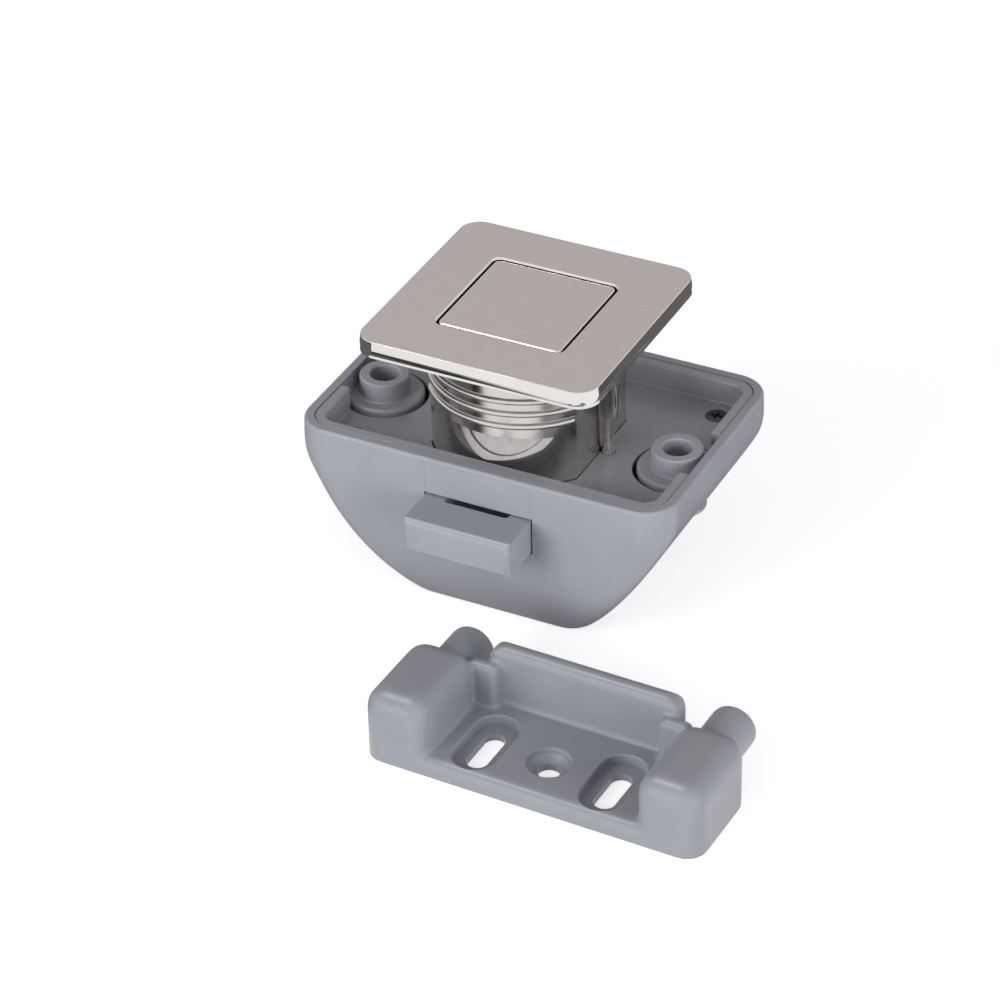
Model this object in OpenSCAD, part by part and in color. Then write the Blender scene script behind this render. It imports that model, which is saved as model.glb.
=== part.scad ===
// Push button lock for a cabinet door, with its separate strike.
// Origin: the button's axis, in the plane of the housing's rim, which lies on the inside of the door.
// +Z points out through the door to the button, and the bolt comes out towards -Y.

/* [Door] */
// Thickness of the door between the housing's rim and the rosette
door_t = 18.3; // [16:0.1:22]

/* [Housing] */
// Width of the housing, along the edge of the door
case_w = 71.4; // [69:0.2:80]
// Depth of the housing, from the edge of the door inwards
case_d = 47.8; // [46:0.2:56]
// Height of the housing below the door
case_h = 34.6; // [32.5:0.1:40]
// How far the housing's centre lies behind the button's axis
case_back = 2.3; // [1.8:0.1:3]
// Thickness of the housing's side wall
case_wall = 1.8; // [1.5:0.1:2]
// Thickness of the housing's floor
case_floor = 2.2; // [1.6:0.1:2.6]
// Radius of the housing's corners at the rim
case_corner = 6.2; // [5:0.1:8]
// Radius of the housing's corners at the bottom
case_corner_low = 4; // [3.5:0.1:6]
// Height of the straight part of the ends, under the rim
end_straight = 4.1; // [3.5:0.1:7]
// Slant of the ends where they start to curve under
end_slant = 28; // [20:1:32]
// Slant of the ends where they meet the bottom's corner
end_slant_low = 40; // [38:1:50]
// Height of the straight part of the front, under the rim
front_straight = 13.4; // [11:0.2:16]
// Height of the straight part of the back, under the rim
back_straight = 8.4; // [6:0.2:12]
// Slant of the back where it starts to curve under
back_slant = 23; // [15:1:28]

/* [Tray] */
// Depth of the tray's floor below the rim
tray_deep = 4.6; // [4.2:0.1:5]
// Thickness of the tray's floor
tray_floor = 1.2; // [1:0.1:1.6]
// Thickness of the tray's wall
tray_wall = 1.9; // [1.5:0.1:2.2]
// Length of the gap in the tray's wall beside each boss
tray_gap = 14; // [12:0.5:16]

/* [Screw bosses] */
// Distance between the two door screws
boss_pitch = 57.2; // [56:0.1:58]
// Diameter of the bore for a door screw
boss_bore = 5.2; // [4.2:0.1:5.4]
// Outside diameter of a boss tube
boss_tube = 9.1; // [8:0.1:10]
// Diameter of a boss flange
boss_flange = 14.2; // [13:0.1:14.4]
// Diameter of the recess for a door screw's head
head_recess = 9; // [8.4:0.1:9.4]

/* [Barrel] */
// Diameter of the barrel
barrel_d = 34.8; // [34.4:0.1:35.6]
// Distance across the barrel's two flats
barrel_flats = 28.2; // [27.6:0.1:28.8]
// Length and width of the barrel's base flange
flange_size = 38; // [37:0.1:38.4]

/* [Rosette] */
// Side of the square rosette
rosette_side = 45; // [43:0.5:50]
// Thickness of the rosette
rosette_t = 3.2; // [2.4:0.1:4]
// Radius of the rosette's corners
rosette_corner = 4; // [2:0.1:6]
// Diameter of the posts under the rosette
post_d = 4.3; // [4:0.1:4.6]

/* [Button] */
// Side of the square button
button_side = 23.3; // [22.6:0.1:23.4]
// Gap between the button and the rosette
button_gap = 0.4; // [0.3:0.05:0.5]
// How far the button comes out when it is let go
button_out = 9.5; // [8:0.1:9.5]
// How far the button goes in past flush to let go
button_in = 1; // [0.5:0.1:1.2]
// Height of the button's skirt
button_h = 16; // [14:0.1:16.5]

/* [Bolt] */
// Width of the bolt
bolt_w = 20.2; // [18:0.1:21]
// Height of the bolt
bolt_h = 6.7; // [6:0.1:7.4]
// How far the bolt's middle lies beside the button's axis
bolt_x = 0.6; // [0:0.1:0.8]
// How far the bolt stands out of the housing
bolt_throw = 8.7; // [7:0.1:9]

/* [Strike] */
// Length of the strike
strike_l = 63; // [60:0.5:68]
// Depth of the strike's back wall, from the strike's front
strike_d = 24; // [23.4:0.1:26]
// Depth of the strike's blocks
block_d = 19.7; // [18.8:0.1:20.2]
// Height of the strike's blocks
strike_h = 13.3; // [12:0.1:15]
// Thickness of the strike's floor
strike_floor = 3.3; // [3:0.1:3.6]
// Length of one block
block_l = 12; // [10.5:0.1:13]
// Distance between the two slots
slot_pitch = 24; // [23:0.1:26]
// Width of the slots where they go through
slot_w = 3.9; // [3:0.1:4.4]
// Diameter of the strike's screw hole
strike_bore = 4; // [3:0.1:4.4]
// Diameter of the pegs
peg_d = 8.4; // [7:0.1:8.8]

/* [Hidden] */
$fn = 64;

// Clearances
run_gap = 0.3;
fit_gap = 0.05;
pin_gap = 0.1;
seam_gap = 0.1;
ease = 0.01;
over = 1;

// Housing
front_y = case_back - case_d / 2;
back_y = case_back + case_d / 2;
shoulder_r = 10;
keel_r = 5.6;
front_slant = 37.5;
front_keel_r = 2.5;
back_slant_low = 43;
back_keel_r = 5.5;
boat_levels = 14;
thin = 0.01;
pad_t = 0.25;
pad_w = bolt_w;
pad_into = 1;

// Heights from the rim down: tray, flange and bolt lie on each other
tray_top = -tray_deep;
tray_under = tray_top - tray_floor;
flange_t = 1.2;
flange_under = tray_under - flange_t;
bolt_top = flange_under - run_gap;
bolt_mid = bolt_top - bolt_h / 2;
bolt_under = bolt_top - bolt_h;
inner_floor = case_floor - case_h;

// Bosses
boss_x = boss_pitch / 2;
boss_bore_l = 8;
boss_top = -seam_gap;
boss_flange_top = -3.8;
boss_ring = 0.8;
tray_cut = boss_flange / 2 + boss_ring;

// Tray screws
tray_screw_x = 28;
tray_screw_y = 16;
tray_screw_d = 2.2;
tray_head_d = 4;
tray_screw_l = 7;
tray_post_d = 5.6;

// Barrel
barrel_top = door_t;
barrel_bottom = flange_under;
chamber_floor = -2.5;
scallop_x = 2;
scallop_r = 10.2;
scallop_top = 5;
scallop_low = -0.8;
scallop_deep = 4;
flange_corner = 3;
flange_screw_x = 16;
flange_screw_y = 15.2;
flange_screw_d = 2.5;
flange_head_d = 4.4;
flange_screw_l = 8;
flange_post_d = 6;

// Rosette and its posts
rosette_top = door_t + rosette_t;
rosette_edge = 0.35;
button_hole = button_side + 2 * button_gap;
button_corner = 1.5;
post_out = 1.3;
post_x = barrel_flats / 2 + post_out;
post_bottom = 3.3;
align_pin_low_d = 2.5;
align_pin_top_d = 1.5;
align_pin_top = 9;

// Button and plunger
button_sink = 0.2;
button_top = rosette_top - button_sink;
button_bottom = button_top - button_h;
button_wall = 1.8;
button_roof = 2.2;
button_roof_under = button_top - button_roof;
button_edge = 0.3;
plunger_w = 15;
plunger_t = 9;
plunger_top = button_roof_under;
stem_pin_d = 2;
stem_pin_z = plunger_top - 1.7;
cheek_t = 2;
cheek_w = 10;
cheek_h = 3.4;
drive_ratio = bolt_throw / button_out;
drive_pin_d = 3;
drive_y = -bolt_throw / 2;
slot_low_y = drive_y + drive_ratio * button_out;
slot_low_z = bolt_mid - button_out;
slot_high_y = drive_y - drive_ratio * button_in;
slot_high_z = bolt_mid + button_in;
plunger_bottom = slot_low_z - drive_pin_d / 2 - 2;

// Heart-shaped track, in the plunger's +X face
cam_t = 2;
cam_w = 12;
cam_top = 16;
cam_bottom = 0.5;
track_deep = 1.3;
wire_d = 1;
track_w = wire_d + 0.6;
lane_y = 3.6;
lane_top = 1.5;
lane_low_y = 3.4;
lane_low = 6.5;
pivot_z = 0.5;
tip_z = 13;
follower_l = tip_z - pivot_z;
follower_swing = 3;
follower_x = plunger_t / 2 + 1.5;

// Follower's bracket
bracket_x = follower_x + wire_d / 2 + run_gap;
bracket_t = 3.2;
bracket_w = 12;
bracket_top = 3;
bracket_screw_y = 4.2;
bracket_screw_d = 1.6;
bracket_head_d = 2.8;
bracket_hole_l = 4;
leaf_t = 0.3;
leaf_w = 3;
leaf_top = 11;

// Bolt
bolt_front = front_y - bolt_throw;
bolt_tail = 12.2;
bolt_soft = 1.2;
bolt_soft_low = 0.8;
groove_w = 12.4;
groove_deep = 3;
groove_front = front_y - 1.1;
groove_r = 0.8;
window_front = -plunger_w / 2 - bolt_throw - run_gap;
window_back = plunger_w / 2 + drive_ratio * button_in + run_gap;
rail_t = 1.6;
rest_rib_x = 6.9;
rest_rib_t = 2.6;

// Spring
spring_wire = 0.9;
spring_d = 8.4;
spring_turns = 5.5;
spring_steps = 20;
spring_sides = 6;
seat_t = 0.6;
seat_d = 9.4;
seat_nub_d = 5;
seat_nub_h = 2.2;
seat_pocket_h = 6;
spring_low = inner_floor + seat_t;

// Strike, in its own place in front of the housing, on the same ground
strike_x = 29.3;
strike_y = -62.2;
strike_turn = -1.9;
block_soft = 3.6;
floor_soft = 1.8;
wall_rise = 0.9;
wall_end = 1.7;
wall_t = 3.6;
wall_soft = 1.6;
wall_corner = 3.4;
shoulder_d = 2.8;
shoulder_front = 18;
shoulder_top = 11.5;
shoulder_in = 4.3;
shoulder_into = 1.6;
shoulder_soft = 1.2;
slot_x = -0.5;
slot_y = 9.2;
slot_l = 10;
slot_recess_w = 8;
slot_recess_l = 15.6;
slot_seat = 1.4;
countersink_d = 8;
countersink_deep = 2;
peg_in = 5.4;
peg_out = 8.5;
peg_z = 7;
peg_soft = 0.8;

// Distance that a chain of arcs falls back from its straight start at the depth t.
// a is the first slant, b the last one before the keel, r1 the shoulder's and r3 the keel's radius.
function flank_r(straight, a, b, r1, r3) =
    (case_h - straight - r1 * sin(a) - r3 * (1 - sin(b))) / (sin(b) - sin(a));
function arc_drop(t, r, a) = r * (cos(a) - cos(asin(min(1, sin(a) + t / r))));
function chain_drop(t, straight, a, b, r1, r3) =
    let(r2 = flank_r(straight, a, b, r1, r3),
        s = max(0, t - straight),
        s1 = r1 * sin(a),
        s2 = r2 * (sin(b) - sin(a)))
    s <= s1 ? arc_drop(s, r1, 0)
    : s <= s1 + s2 ? arc_drop(s1, r1, 0) + arc_drop(s - s1, r2, a)
    : arc_drop(s1, r1, 0) + arc_drop(s2, r2, a) + arc_drop(s - s1 - s2, r3, b);
function end_drop(t) = chain_drop(t, end_straight, end_slant, end_slant_low, shoulder_r, keel_r);
function front_drop(t) = chain_drop(t, front_straight, 0, front_slant, shoulder_r, front_keel_r);
function back_drop(t) = chain_drop(t, back_straight, back_slant, back_slant_low, shoulder_r, back_keel_r);

// Plate with round upright corners, centred on x and y, standing on z = 0
module round_plate(w, d, h, r) {
    translate([-w / 2 + r, -d / 2, 0]) cube([w - 2 * r, d, h]);
    translate([-w / 2, -d / 2 + r, 0]) cube([w, d - 2 * r, h]);
    for (x = [-1, 1], y = [-1, 1])
        translate([x * (w / 2 - r), y * (d / 2 - r), 0]) cylinder(r = r, h = h);
}

// Straight slot with round ends between two points of the plane z = 0.
// Its sides lie a hair inside the ends' circles, so that they cross them cleanly.
module slot_between(p, q, w, h) {
    run = q - p;
    for (c = [p, q]) translate([c.x, c.y, 0]) cylinder(d = w, h = h);
    translate([p.x, p.y, 0]) rotate([0, 0, atan2(run.y, run.x)])
        translate([0, -w / 2 + ease, 0]) cube([norm(run), w - 2 * ease, h]);
}

// Countersunk screw with its head's top at z = 0, pointing down
module flat_screw(d, head_d, l) {
    translate([0, 0, -l]) cylinder(d = d, h = l);
    translate([0, 0, -(head_d - d) / 2]) cylinder(d1 = d, d2 = head_d, h = (head_d - d) / 2);
}

// Hole for such a screw, a little wider
module flat_screw_hole(d, head_d, l) {
    flat_screw(d + 2 * fit_gap, head_d + 2 * fit_gap, l + 0.5);
    cylinder(d = head_d + 2 * fit_gap, h = over);
}

module at_flange_screws() {
    for (x = [-1, 1], y = [-1, 1]) translate([x * flange_screw_x, y * flange_screw_y, 0]) children();
}

module at_tray_screws() {
    for (x = [-1, 1], y = [-1, 1])
        translate([x * tray_screw_x, case_back + y * tray_screw_y, 0]) children();
}

module at_bosses() {
    for (x = [-1, 1]) translate([x * boss_x, 0, 0]) children();
}

// Housing's boat-shaped body, drawn in by a wall and a floor, up to the height top
module boat(wall, floor, top) {
    low = case_h - floor;
    hull() for (i = [0 : boat_levels]) {
        u = 1 - i / boat_levels;
        t = i == 0 ? 0 : case_h * (0.15 + 0.85 * (1 - u * u));
        w = case_w / 2 - wall - end_drop(t);
        y0 = front_y + wall + front_drop(t);
        y1 = back_y - wall - back_drop(t);
        r = case_corner + (case_corner_low - case_corner) * t / case_h - wall;
        z = i == 0 ? top : -t * low / case_h;
        for (x = [-1, 1], y = [y0 + r, y1 - r])
            translate([x * (w - r), y, z]) cylinder(r = r, h = thin, $fn = 32);
    }
}

// Outside of the barrel from z0 to z1: round, with two flats
module double_d(d, flats, z0, z1) {
    intersection() {
        translate([0, 0, z0]) cylinder(d = d, h = z1 - z0, $fn = 96);
        translate([-flats / 2, -d, z0 - over]) cube([flats, 2 * d, z1 - z0 + 2 * over]);
    }
}

// Posts and ribs inside the housing, before they are cut to its shape
module case_inside() {
    at_tray_screws() translate([0, 0, -case_h]) cylinder(d = tray_post_d, h = case_h + tray_under);
    at_flange_screws() translate([0, 0, -case_h]) cylinder(d = flange_post_d, h = case_h + flange_under);
    at_bosses() translate([0, 0, -case_h]) cylinder(d = boss_flange, h = case_h + boss_flange_top);
    for (x = [-1, 1]) {
        translate([bolt_x + x * (bolt_w / 2 + run_gap + rail_t / 2) - rail_t / 2, front_y, -case_h])
            cube([rail_t, case_d, case_h + flange_under]);
        translate([bolt_x + x * rest_rib_x - rest_rib_t / 2, front_y, -case_h])
            cube([rest_rib_t, case_d, case_h + bolt_under - run_gap]);
    }
}

module case() {
    color("#9599a2") difference() {
        union() {
            difference() {
                boat(0, 0, -thin);
                boat(case_wall, case_floor, over);
                translate([0, case_back, tray_under - seam_gap])
                    round_plate(case_w - 2 * case_wall, case_d - 2 * case_wall, case_h,
                        case_corner - case_wall);
            }
            intersection() {
                boat(case_wall - seam_gap, 0.5, over);
                case_inside();
            }
            at_bosses() translate([0, 0, boss_flange_top - over])
                cylinder(d = boss_tube, h = boss_top - boss_flange_top + over);
            translate([bolt_x - pad_w / 2, front_y - pad_t, flange_under])
                cube([pad_w, pad_t + pad_into, -flange_under]);
        }
        at_bosses() {
            translate([0, 0, -boss_bore_l - over]) cylinder(d = boss_bore, h = boss_bore_l + 2 * over);
            translate([0, 0, -case_h - over]) cylinder(d = head_recess, h = case_h + over - boss_bore_l);
        }
        at_tray_screws() translate([0, 0, tray_top])
            flat_screw_hole(tray_screw_d, tray_head_d, tray_screw_l);
        at_flange_screws() translate([0, 0, tray_under])
            flat_screw_hole(flange_screw_d, flange_head_d, flange_screw_l);
        translate([bolt_x - bolt_w / 2 - run_gap, front_y - over, bolt_under - run_gap])
            cube([bolt_w + 2 * run_gap, case_wall + over + 0.5, bolt_h + 2 * run_gap]);
        translate([0, 0, -case_h + case_floor]) cylinder(d = seat_d + 2 * run_gap, h = seat_pocket_h);
    }
}

module tray() {
    w = case_w - 2 * case_wall - 2 * seam_gap;
    d = case_d - 2 * case_wall - 2 * seam_gap;
    r = case_corner - case_wall - seam_gap;
    color("#8f939c") difference() {
        translate([0, case_back, tray_under]) round_plate(w, d, -tray_under - seam_gap, r);
        translate([0, case_back, tray_top])
            round_plate(w - 2 * tray_wall, d - 2 * tray_wall, case_h, r - tray_wall);
        at_bosses() {
            translate([0, 0, tray_under - over]) cylinder(r = tray_cut, h = tray_floor + 2 * over);
            translate([-tray_cut, -tray_gap / 2, tray_top]) cube([2 * tray_cut, tray_gap, case_h]);
        }
        double_d(barrel_d + 2 * pin_gap, barrel_flats + 2 * pin_gap, tray_under - over, over);
        for (x = [-1, 1]) translate([x * post_x, 0, tray_under - over])
            cylinder(d = align_pin_low_d + 2 * pin_gap, h = tray_floor + 2 * over, $fn = 32);
        at_tray_screws() translate([0, 0, tray_top])
            flat_screw_hole(tray_screw_d, tray_head_d, tray_screw_l);
    }
}

module tray_screws() {
    color("#b9bcc0") at_tray_screws() translate([0, 0, tray_top]) difference() {
        flat_screw(tray_screw_d, tray_head_d, tray_screw_l);
        for (a = [0, 90]) rotate([0, 0, a]) translate([-1.1, -0.25, -0.5]) cube([2.2, 0.5, over]);
    }
}

module barrel() {
    color("#b5aea9") difference() {
        union() {
            double_d(barrel_d, barrel_flats, barrel_bottom, barrel_top);
            translate([0, 0, flange_under]) round_plate(flange_size, flange_size, flange_t, flange_corner);
        }
        translate([0, 0, chamber_floor])
            round_plate(button_hole, button_hole, barrel_top - chamber_floor + over, button_corner);
        translate([-plunger_t / 2 - pin_gap, -plunger_w / 2 - pin_gap, barrel_bottom - over])
            cube([plunger_t + 2 * pin_gap, plunger_w + 2 * pin_gap, case_h]);
        scallop();
        at_flange_screws() translate([0, 0, tray_under])
            flat_screw_hole(flange_screw_d, flange_head_d, flange_screw_l);
        for (x = [-1, 1]) translate([x * post_x, 0, flange_under - over])
            cylinder(d = align_pin_low_d + 2 * fit_gap, h = flange_t + 2 * over, $fn = 32);
        for (y = [-1, 1])
            translate([bracket_x + bracket_t / 2, y * bracket_screw_y, chamber_floor - bracket_hole_l])
                cylinder(d = bracket_screw_d + 2 * fit_gap, h = bracket_hole_l + over, $fn = 32);
    }
}

// Scoop in the front of the barrel, under the thread: a slanted floor inside a round outline
module scallop() {
    r = barrel_d / 2;
    intersection() {
        rotate([90, 0, 90]) translate([0, 0, -r]) linear_extrude(2 * r) polygon([
            [-r - over, scallop_top], [scallop_deep - r, scallop_top],
            [-r, scallop_low], [-r - over, scallop_low]]);
        translate([scallop_x, 0, scallop_top]) rotate([90, 0, 0])
            cylinder(r = scallop_r, h = r + 2 * over, $fn = 96);
    }
}

module barrel_screws() {
    color("#c3c5c8") at_flange_screws() translate([0, 0, tray_under]) difference() {
        flat_screw(flange_screw_d, flange_head_d, flange_screw_l);
        for (a = [0, 90]) rotate([0, 0, a]) translate([-1.2, -0.3, -0.5]) cube([2.4, 0.6, over]);
    }
}

module alignment_pins() {
    color("#c9c6c2") for (x = [-1, 1]) translate([x * post_x, 0, 0]) {
        translate([0, 0, flange_under]) cylinder(d = align_pin_low_d, h = tray_top - flange_under, $fn = 32);
        translate([0, 0, tray_top])
            cylinder(d1 = align_pin_low_d, d2 = align_pin_top_d, h = align_pin_top - tray_top, $fn = 32);
    }
}

module rosette() {
    s = rosette_side / 2 - rosette_corner;
    color("#b3aaa6") difference() {
        union() {
            hull() for (x = [-1, 1], y = [-1, 1]) translate([x * s, y * s, door_t]) {
                translate([0, 0, rosette_edge])
                    cylinder(r = rosette_corner, h = rosette_t - 2 * rosette_edge, $fn = 48);
                cylinder(r = rosette_corner - rosette_edge, h = rosette_t, $fn = 48);
            }
            for (x = [-1, 1]) translate([x * post_x, 0, post_bottom])
                cylinder(d = post_d, h = door_t - post_bottom + over, $fn = 48);
        }
        translate([0, 0, door_t - over])
            round_plate(button_hole, button_hole, rosette_t + 2 * over, button_corner);
        double_d(barrel_d + 2 * pin_gap, barrel_flats + 2 * pin_gap, 0, barrel_top);
        for (x = [-1, 1]) translate([x * post_x, 0, post_bottom - over])
            cylinder(d = align_pin_low_d - 0.4, h = align_pin_top - post_bottom + 2 * over, $fn = 32);
    }
}

module button() {
    s = button_side / 2 - button_corner + button_gap;
    r = button_corner - button_gap;
    color("#b3aaa6") difference() {
        union() {
            difference() {
                hull() for (x = [-1, 1], y = [-1, 1]) translate([x * s, y * s, button_bottom]) {
                    cylinder(r = r, h = button_h - button_edge, $fn = 32);
                    cylinder(r = r - button_edge, h = button_h, $fn = 32);
                }
                translate([0, 0, button_bottom - over])
                    round_plate(button_side - 2 * button_wall, button_side - 2 * button_wall,
                        button_h - button_roof + over, r);
            }
            for (x = [-1, 1]) translate([x * (plunger_t / 2 + pin_gap + cheek_t / 2) - cheek_t / 2,
                -cheek_w / 2, button_roof_under - cheek_h])
                cube([cheek_t, cheek_w, cheek_h + button_roof / 2]);
        }
        translate([-plunger_t, 0, stem_pin_z]) rotate([0, 90, 0])
            cylinder(d = stem_pin_d + 2 * fit_gap, h = 2 * plunger_t, $fn = 32);
    }
}

module plunger() {
    color("#2f3135") difference() {
        translate([-plunger_t / 2, -plunger_w / 2, plunger_bottom])
            cube([plunger_t, plunger_w, plunger_top - plunger_bottom]);
        translate([-plunger_t, 0, 0]) rotate([90, 0, 90])
            slot_between([slot_high_y, slot_high_z], [slot_low_y, slot_low_z],
                drive_pin_d + 2 * pin_gap, 2 * plunger_t);
        translate([plunger_t / 2 - cam_t, -cam_w / 2, cam_bottom])
            cube([cam_t + over, cam_w, cam_top - cam_bottom]);
        translate([-plunger_t, 0, stem_pin_z]) rotate([0, 90, 0])
            cylinder(d = stem_pin_d + 2 * fit_gap, h = 2 * plunger_t, $fn = 32);
    }
}

module button_pin() {
    l = plunger_t + 2 * pin_gap + 2 * cheek_t;
    color("#c9c6c2") translate([-l / 2, 0, stem_pin_z]) rotate([0, 90, 0])
        cylinder(d = stem_pin_d, h = l, $fn = 32);
}

// Track round the heart-shaped island: the release lane follows the wire's tip,
// and the return lane comes back on the other side
module heart_cam() {
    top = [0.4, tip_z + button_in + 0.2];
    low = [-follower_swing - 0.1, tip_z - button_out - 0.7];
    side = [lane_y, tip_z - lane_top];
    side_low = [lane_low_y, tip_z - lane_low];
    color("#d8d4c4") difference() {
        translate([plunger_t / 2 - cam_t, -cam_w / 2 + fit_gap, cam_bottom + fit_gap])
            cube([cam_t, cam_w - 2 * fit_gap, cam_top - cam_bottom - 2 * fit_gap]);
        translate([plunger_t / 2 - track_deep, 0, 0]) rotate([90, 0, 90]) {
            slot_between(top, low, track_w, 2 * cam_t);
            slot_between(top, side, track_w, 2 * cam_t);
            slot_between(side, side_low, track_w, 2 * cam_t);
            slot_between(side_low, low, track_w, 2 * cam_t);
        }
    }
}

// Bent wire: a pivot end in the bracket, an upright leg and a tip in the track
module latch_follower() {
    color("#c9c6c2") {
        translate([follower_x, 0, pivot_z]) cylinder(d = wire_d, h = follower_l, $fn = 24);
        translate([follower_x, 0, pivot_z]) sphere(d = wire_d, $fn = 24);
        translate([follower_x, 0, tip_z]) sphere(d = wire_d, $fn = 24);
        translate([follower_x, 0, pivot_z]) rotate([0, 90, 0]) cylinder(d = wire_d, h = bracket_t, $fn = 24);
        translate([plunger_t / 2 - track_deep + run_gap, 0, tip_z]) rotate([0, 90, 0])
            cylinder(d = wire_d, h = follower_x - plunger_t / 2 + track_deep - run_gap, $fn = 24);
    }
}

module follower_bracket() {
    color("#6f7278") difference() {
        translate([bracket_x, -bracket_w / 2, chamber_floor])
            cube([bracket_t, bracket_w, bracket_top - chamber_floor]);
        translate([bracket_x - over, 0, pivot_z]) rotate([0, 90, 0])
            cylinder(d = wire_d + 2 * fit_gap, h = bracket_t + over - 0.6, $fn = 24);
        for (y = [-1, 1]) translate([bracket_x + bracket_t / 2, y * bracket_screw_y, bracket_top])
            flat_screw_hole(bracket_screw_d, bracket_head_d, bracket_top - chamber_floor);
        translate([bracket_x - fit_gap, -leaf_w / 2 - fit_gap, pivot_z + wire_d])
            cube([leaf_t + 2 * fit_gap, leaf_w + 2 * fit_gap, bracket_top]);
    }
}

module bracket_screws() {
    color("#c3c5c8") for (y = [-1, 1])
        translate([bracket_x + bracket_t / 2, y * bracket_screw_y, bracket_top]) difference() {
            flat_screw(bracket_screw_d, bracket_head_d, bracket_top - chamber_floor + 2);
            translate([-1, -0.2, -0.3]) cube([2, 0.4, over]);
        }
}

// Leaf that keeps the wire in its track
module follower_spring() {
    color("#b9bcc0") translate([bracket_x, -leaf_w / 2, pivot_z + wire_d + fit_gap])
        cube([leaf_t, leaf_w, leaf_top - pivot_z - wire_d]);
}

// Side outline of the bolt, with a rounded front
module bolt_outline() {
    polygon([
        [bolt_front, bolt_under + bolt_soft_low], [bolt_front + bolt_soft_low, bolt_under],
        [bolt_tail, bolt_under], [bolt_tail, bolt_top],
        [bolt_front + bolt_soft, bolt_top], [bolt_front, bolt_top - bolt_soft]]);
    translate([bolt_front + bolt_soft, bolt_top - bolt_soft]) circle(bolt_soft);
    translate([bolt_front + bolt_soft_low, bolt_under + bolt_soft_low]) circle(bolt_soft_low);
}

module bolt() {
    w = bolt_w;
    groove_l = window_front - groove_front + over;
    color("#9a9ea7") difference() {
        translate([bolt_x - w / 2, 0, 0]) rotate([90, 0, 90]) linear_extrude(w) bolt_outline();
        translate([-plunger_t / 2 - run_gap, window_front, bolt_under - over])
            cube([plunger_t + 2 * run_gap, window_back - window_front, bolt_h + 2 * over]);
        translate([bolt_x, groove_front + groove_l / 2, bolt_top - groove_deep])
            round_plate(groove_w, groove_l, groove_deep + over, groove_r);
        translate([-w, drive_y, bolt_mid]) rotate([0, 90, 0])
            cylinder(d = drive_pin_d + 2 * fit_gap, h = 2 * w, $fn = 48);
    }
}

module drive_pin() {
    l = bolt_w - 1;
    color("#c9c6c2") translate([bolt_x - l / 2, drive_y, bolt_mid]) rotate([0, 90, 0])
        cylinder(d = drive_pin_d, h = l, $fn = 48);
}

// Compression spring as one tube along a helix
module button_spring() {
    r = (spring_d - spring_wire) / 2;
    low = spring_low + spring_wire / 2;
    rise = plunger_bottom - spring_low - spring_wire;
    n = round(spring_turns * spring_steps);
    ring = [for (i = [0 : n], k = [0 : spring_sides - 1])
        let(a = 360 * spring_turns * i / n, b = 360 * k / spring_sides, q = spring_wire / 2)
        [(r + q * cos(b)) * cos(a), (r + q * cos(b)) * sin(a), low + rise * i / n + q * sin(b)]];
    side = [for (i = [0 : n - 1], k = [0 : spring_sides - 1])
        let(j = (k + 1) % spring_sides, p = i * spring_sides, q = p + spring_sides)
        each [[p + k, p + j, q + j], [p + k, q + j, q + k]]];
    ends = [[for (k = [spring_sides - 1 : -1 : 0]) k],
        [for (k = [0 : spring_sides - 1]) n * spring_sides + k]];
    color("#c3c5c8") polyhedron(points = ring, faces = concat(side, ends));
}

module spring_seat() {
    color("#b9bcc0") translate([0, 0, inner_floor]) {
        cylinder(d = seat_d, h = seat_t);
        cylinder(d = seat_nub_d, h = seat_t + seat_nub_h);
    }
}

// Block with soft edges, from a corner and a size
module soft_block(p, s, r) {
    translate(p + s / 2) intersection() {
        translate([0, 0, -s.z / 2]) round_plate(s.x, s.y, s.z, r);
        rotate([90, 0, 0]) translate([0, 0, -s.y / 2]) round_plate(s.x, s.z, s.y, r);
        rotate([0, 90, 0]) translate([0, 0, -s.x / 2]) round_plate(s.z, s.y, s.x, r);
    }
}

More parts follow.
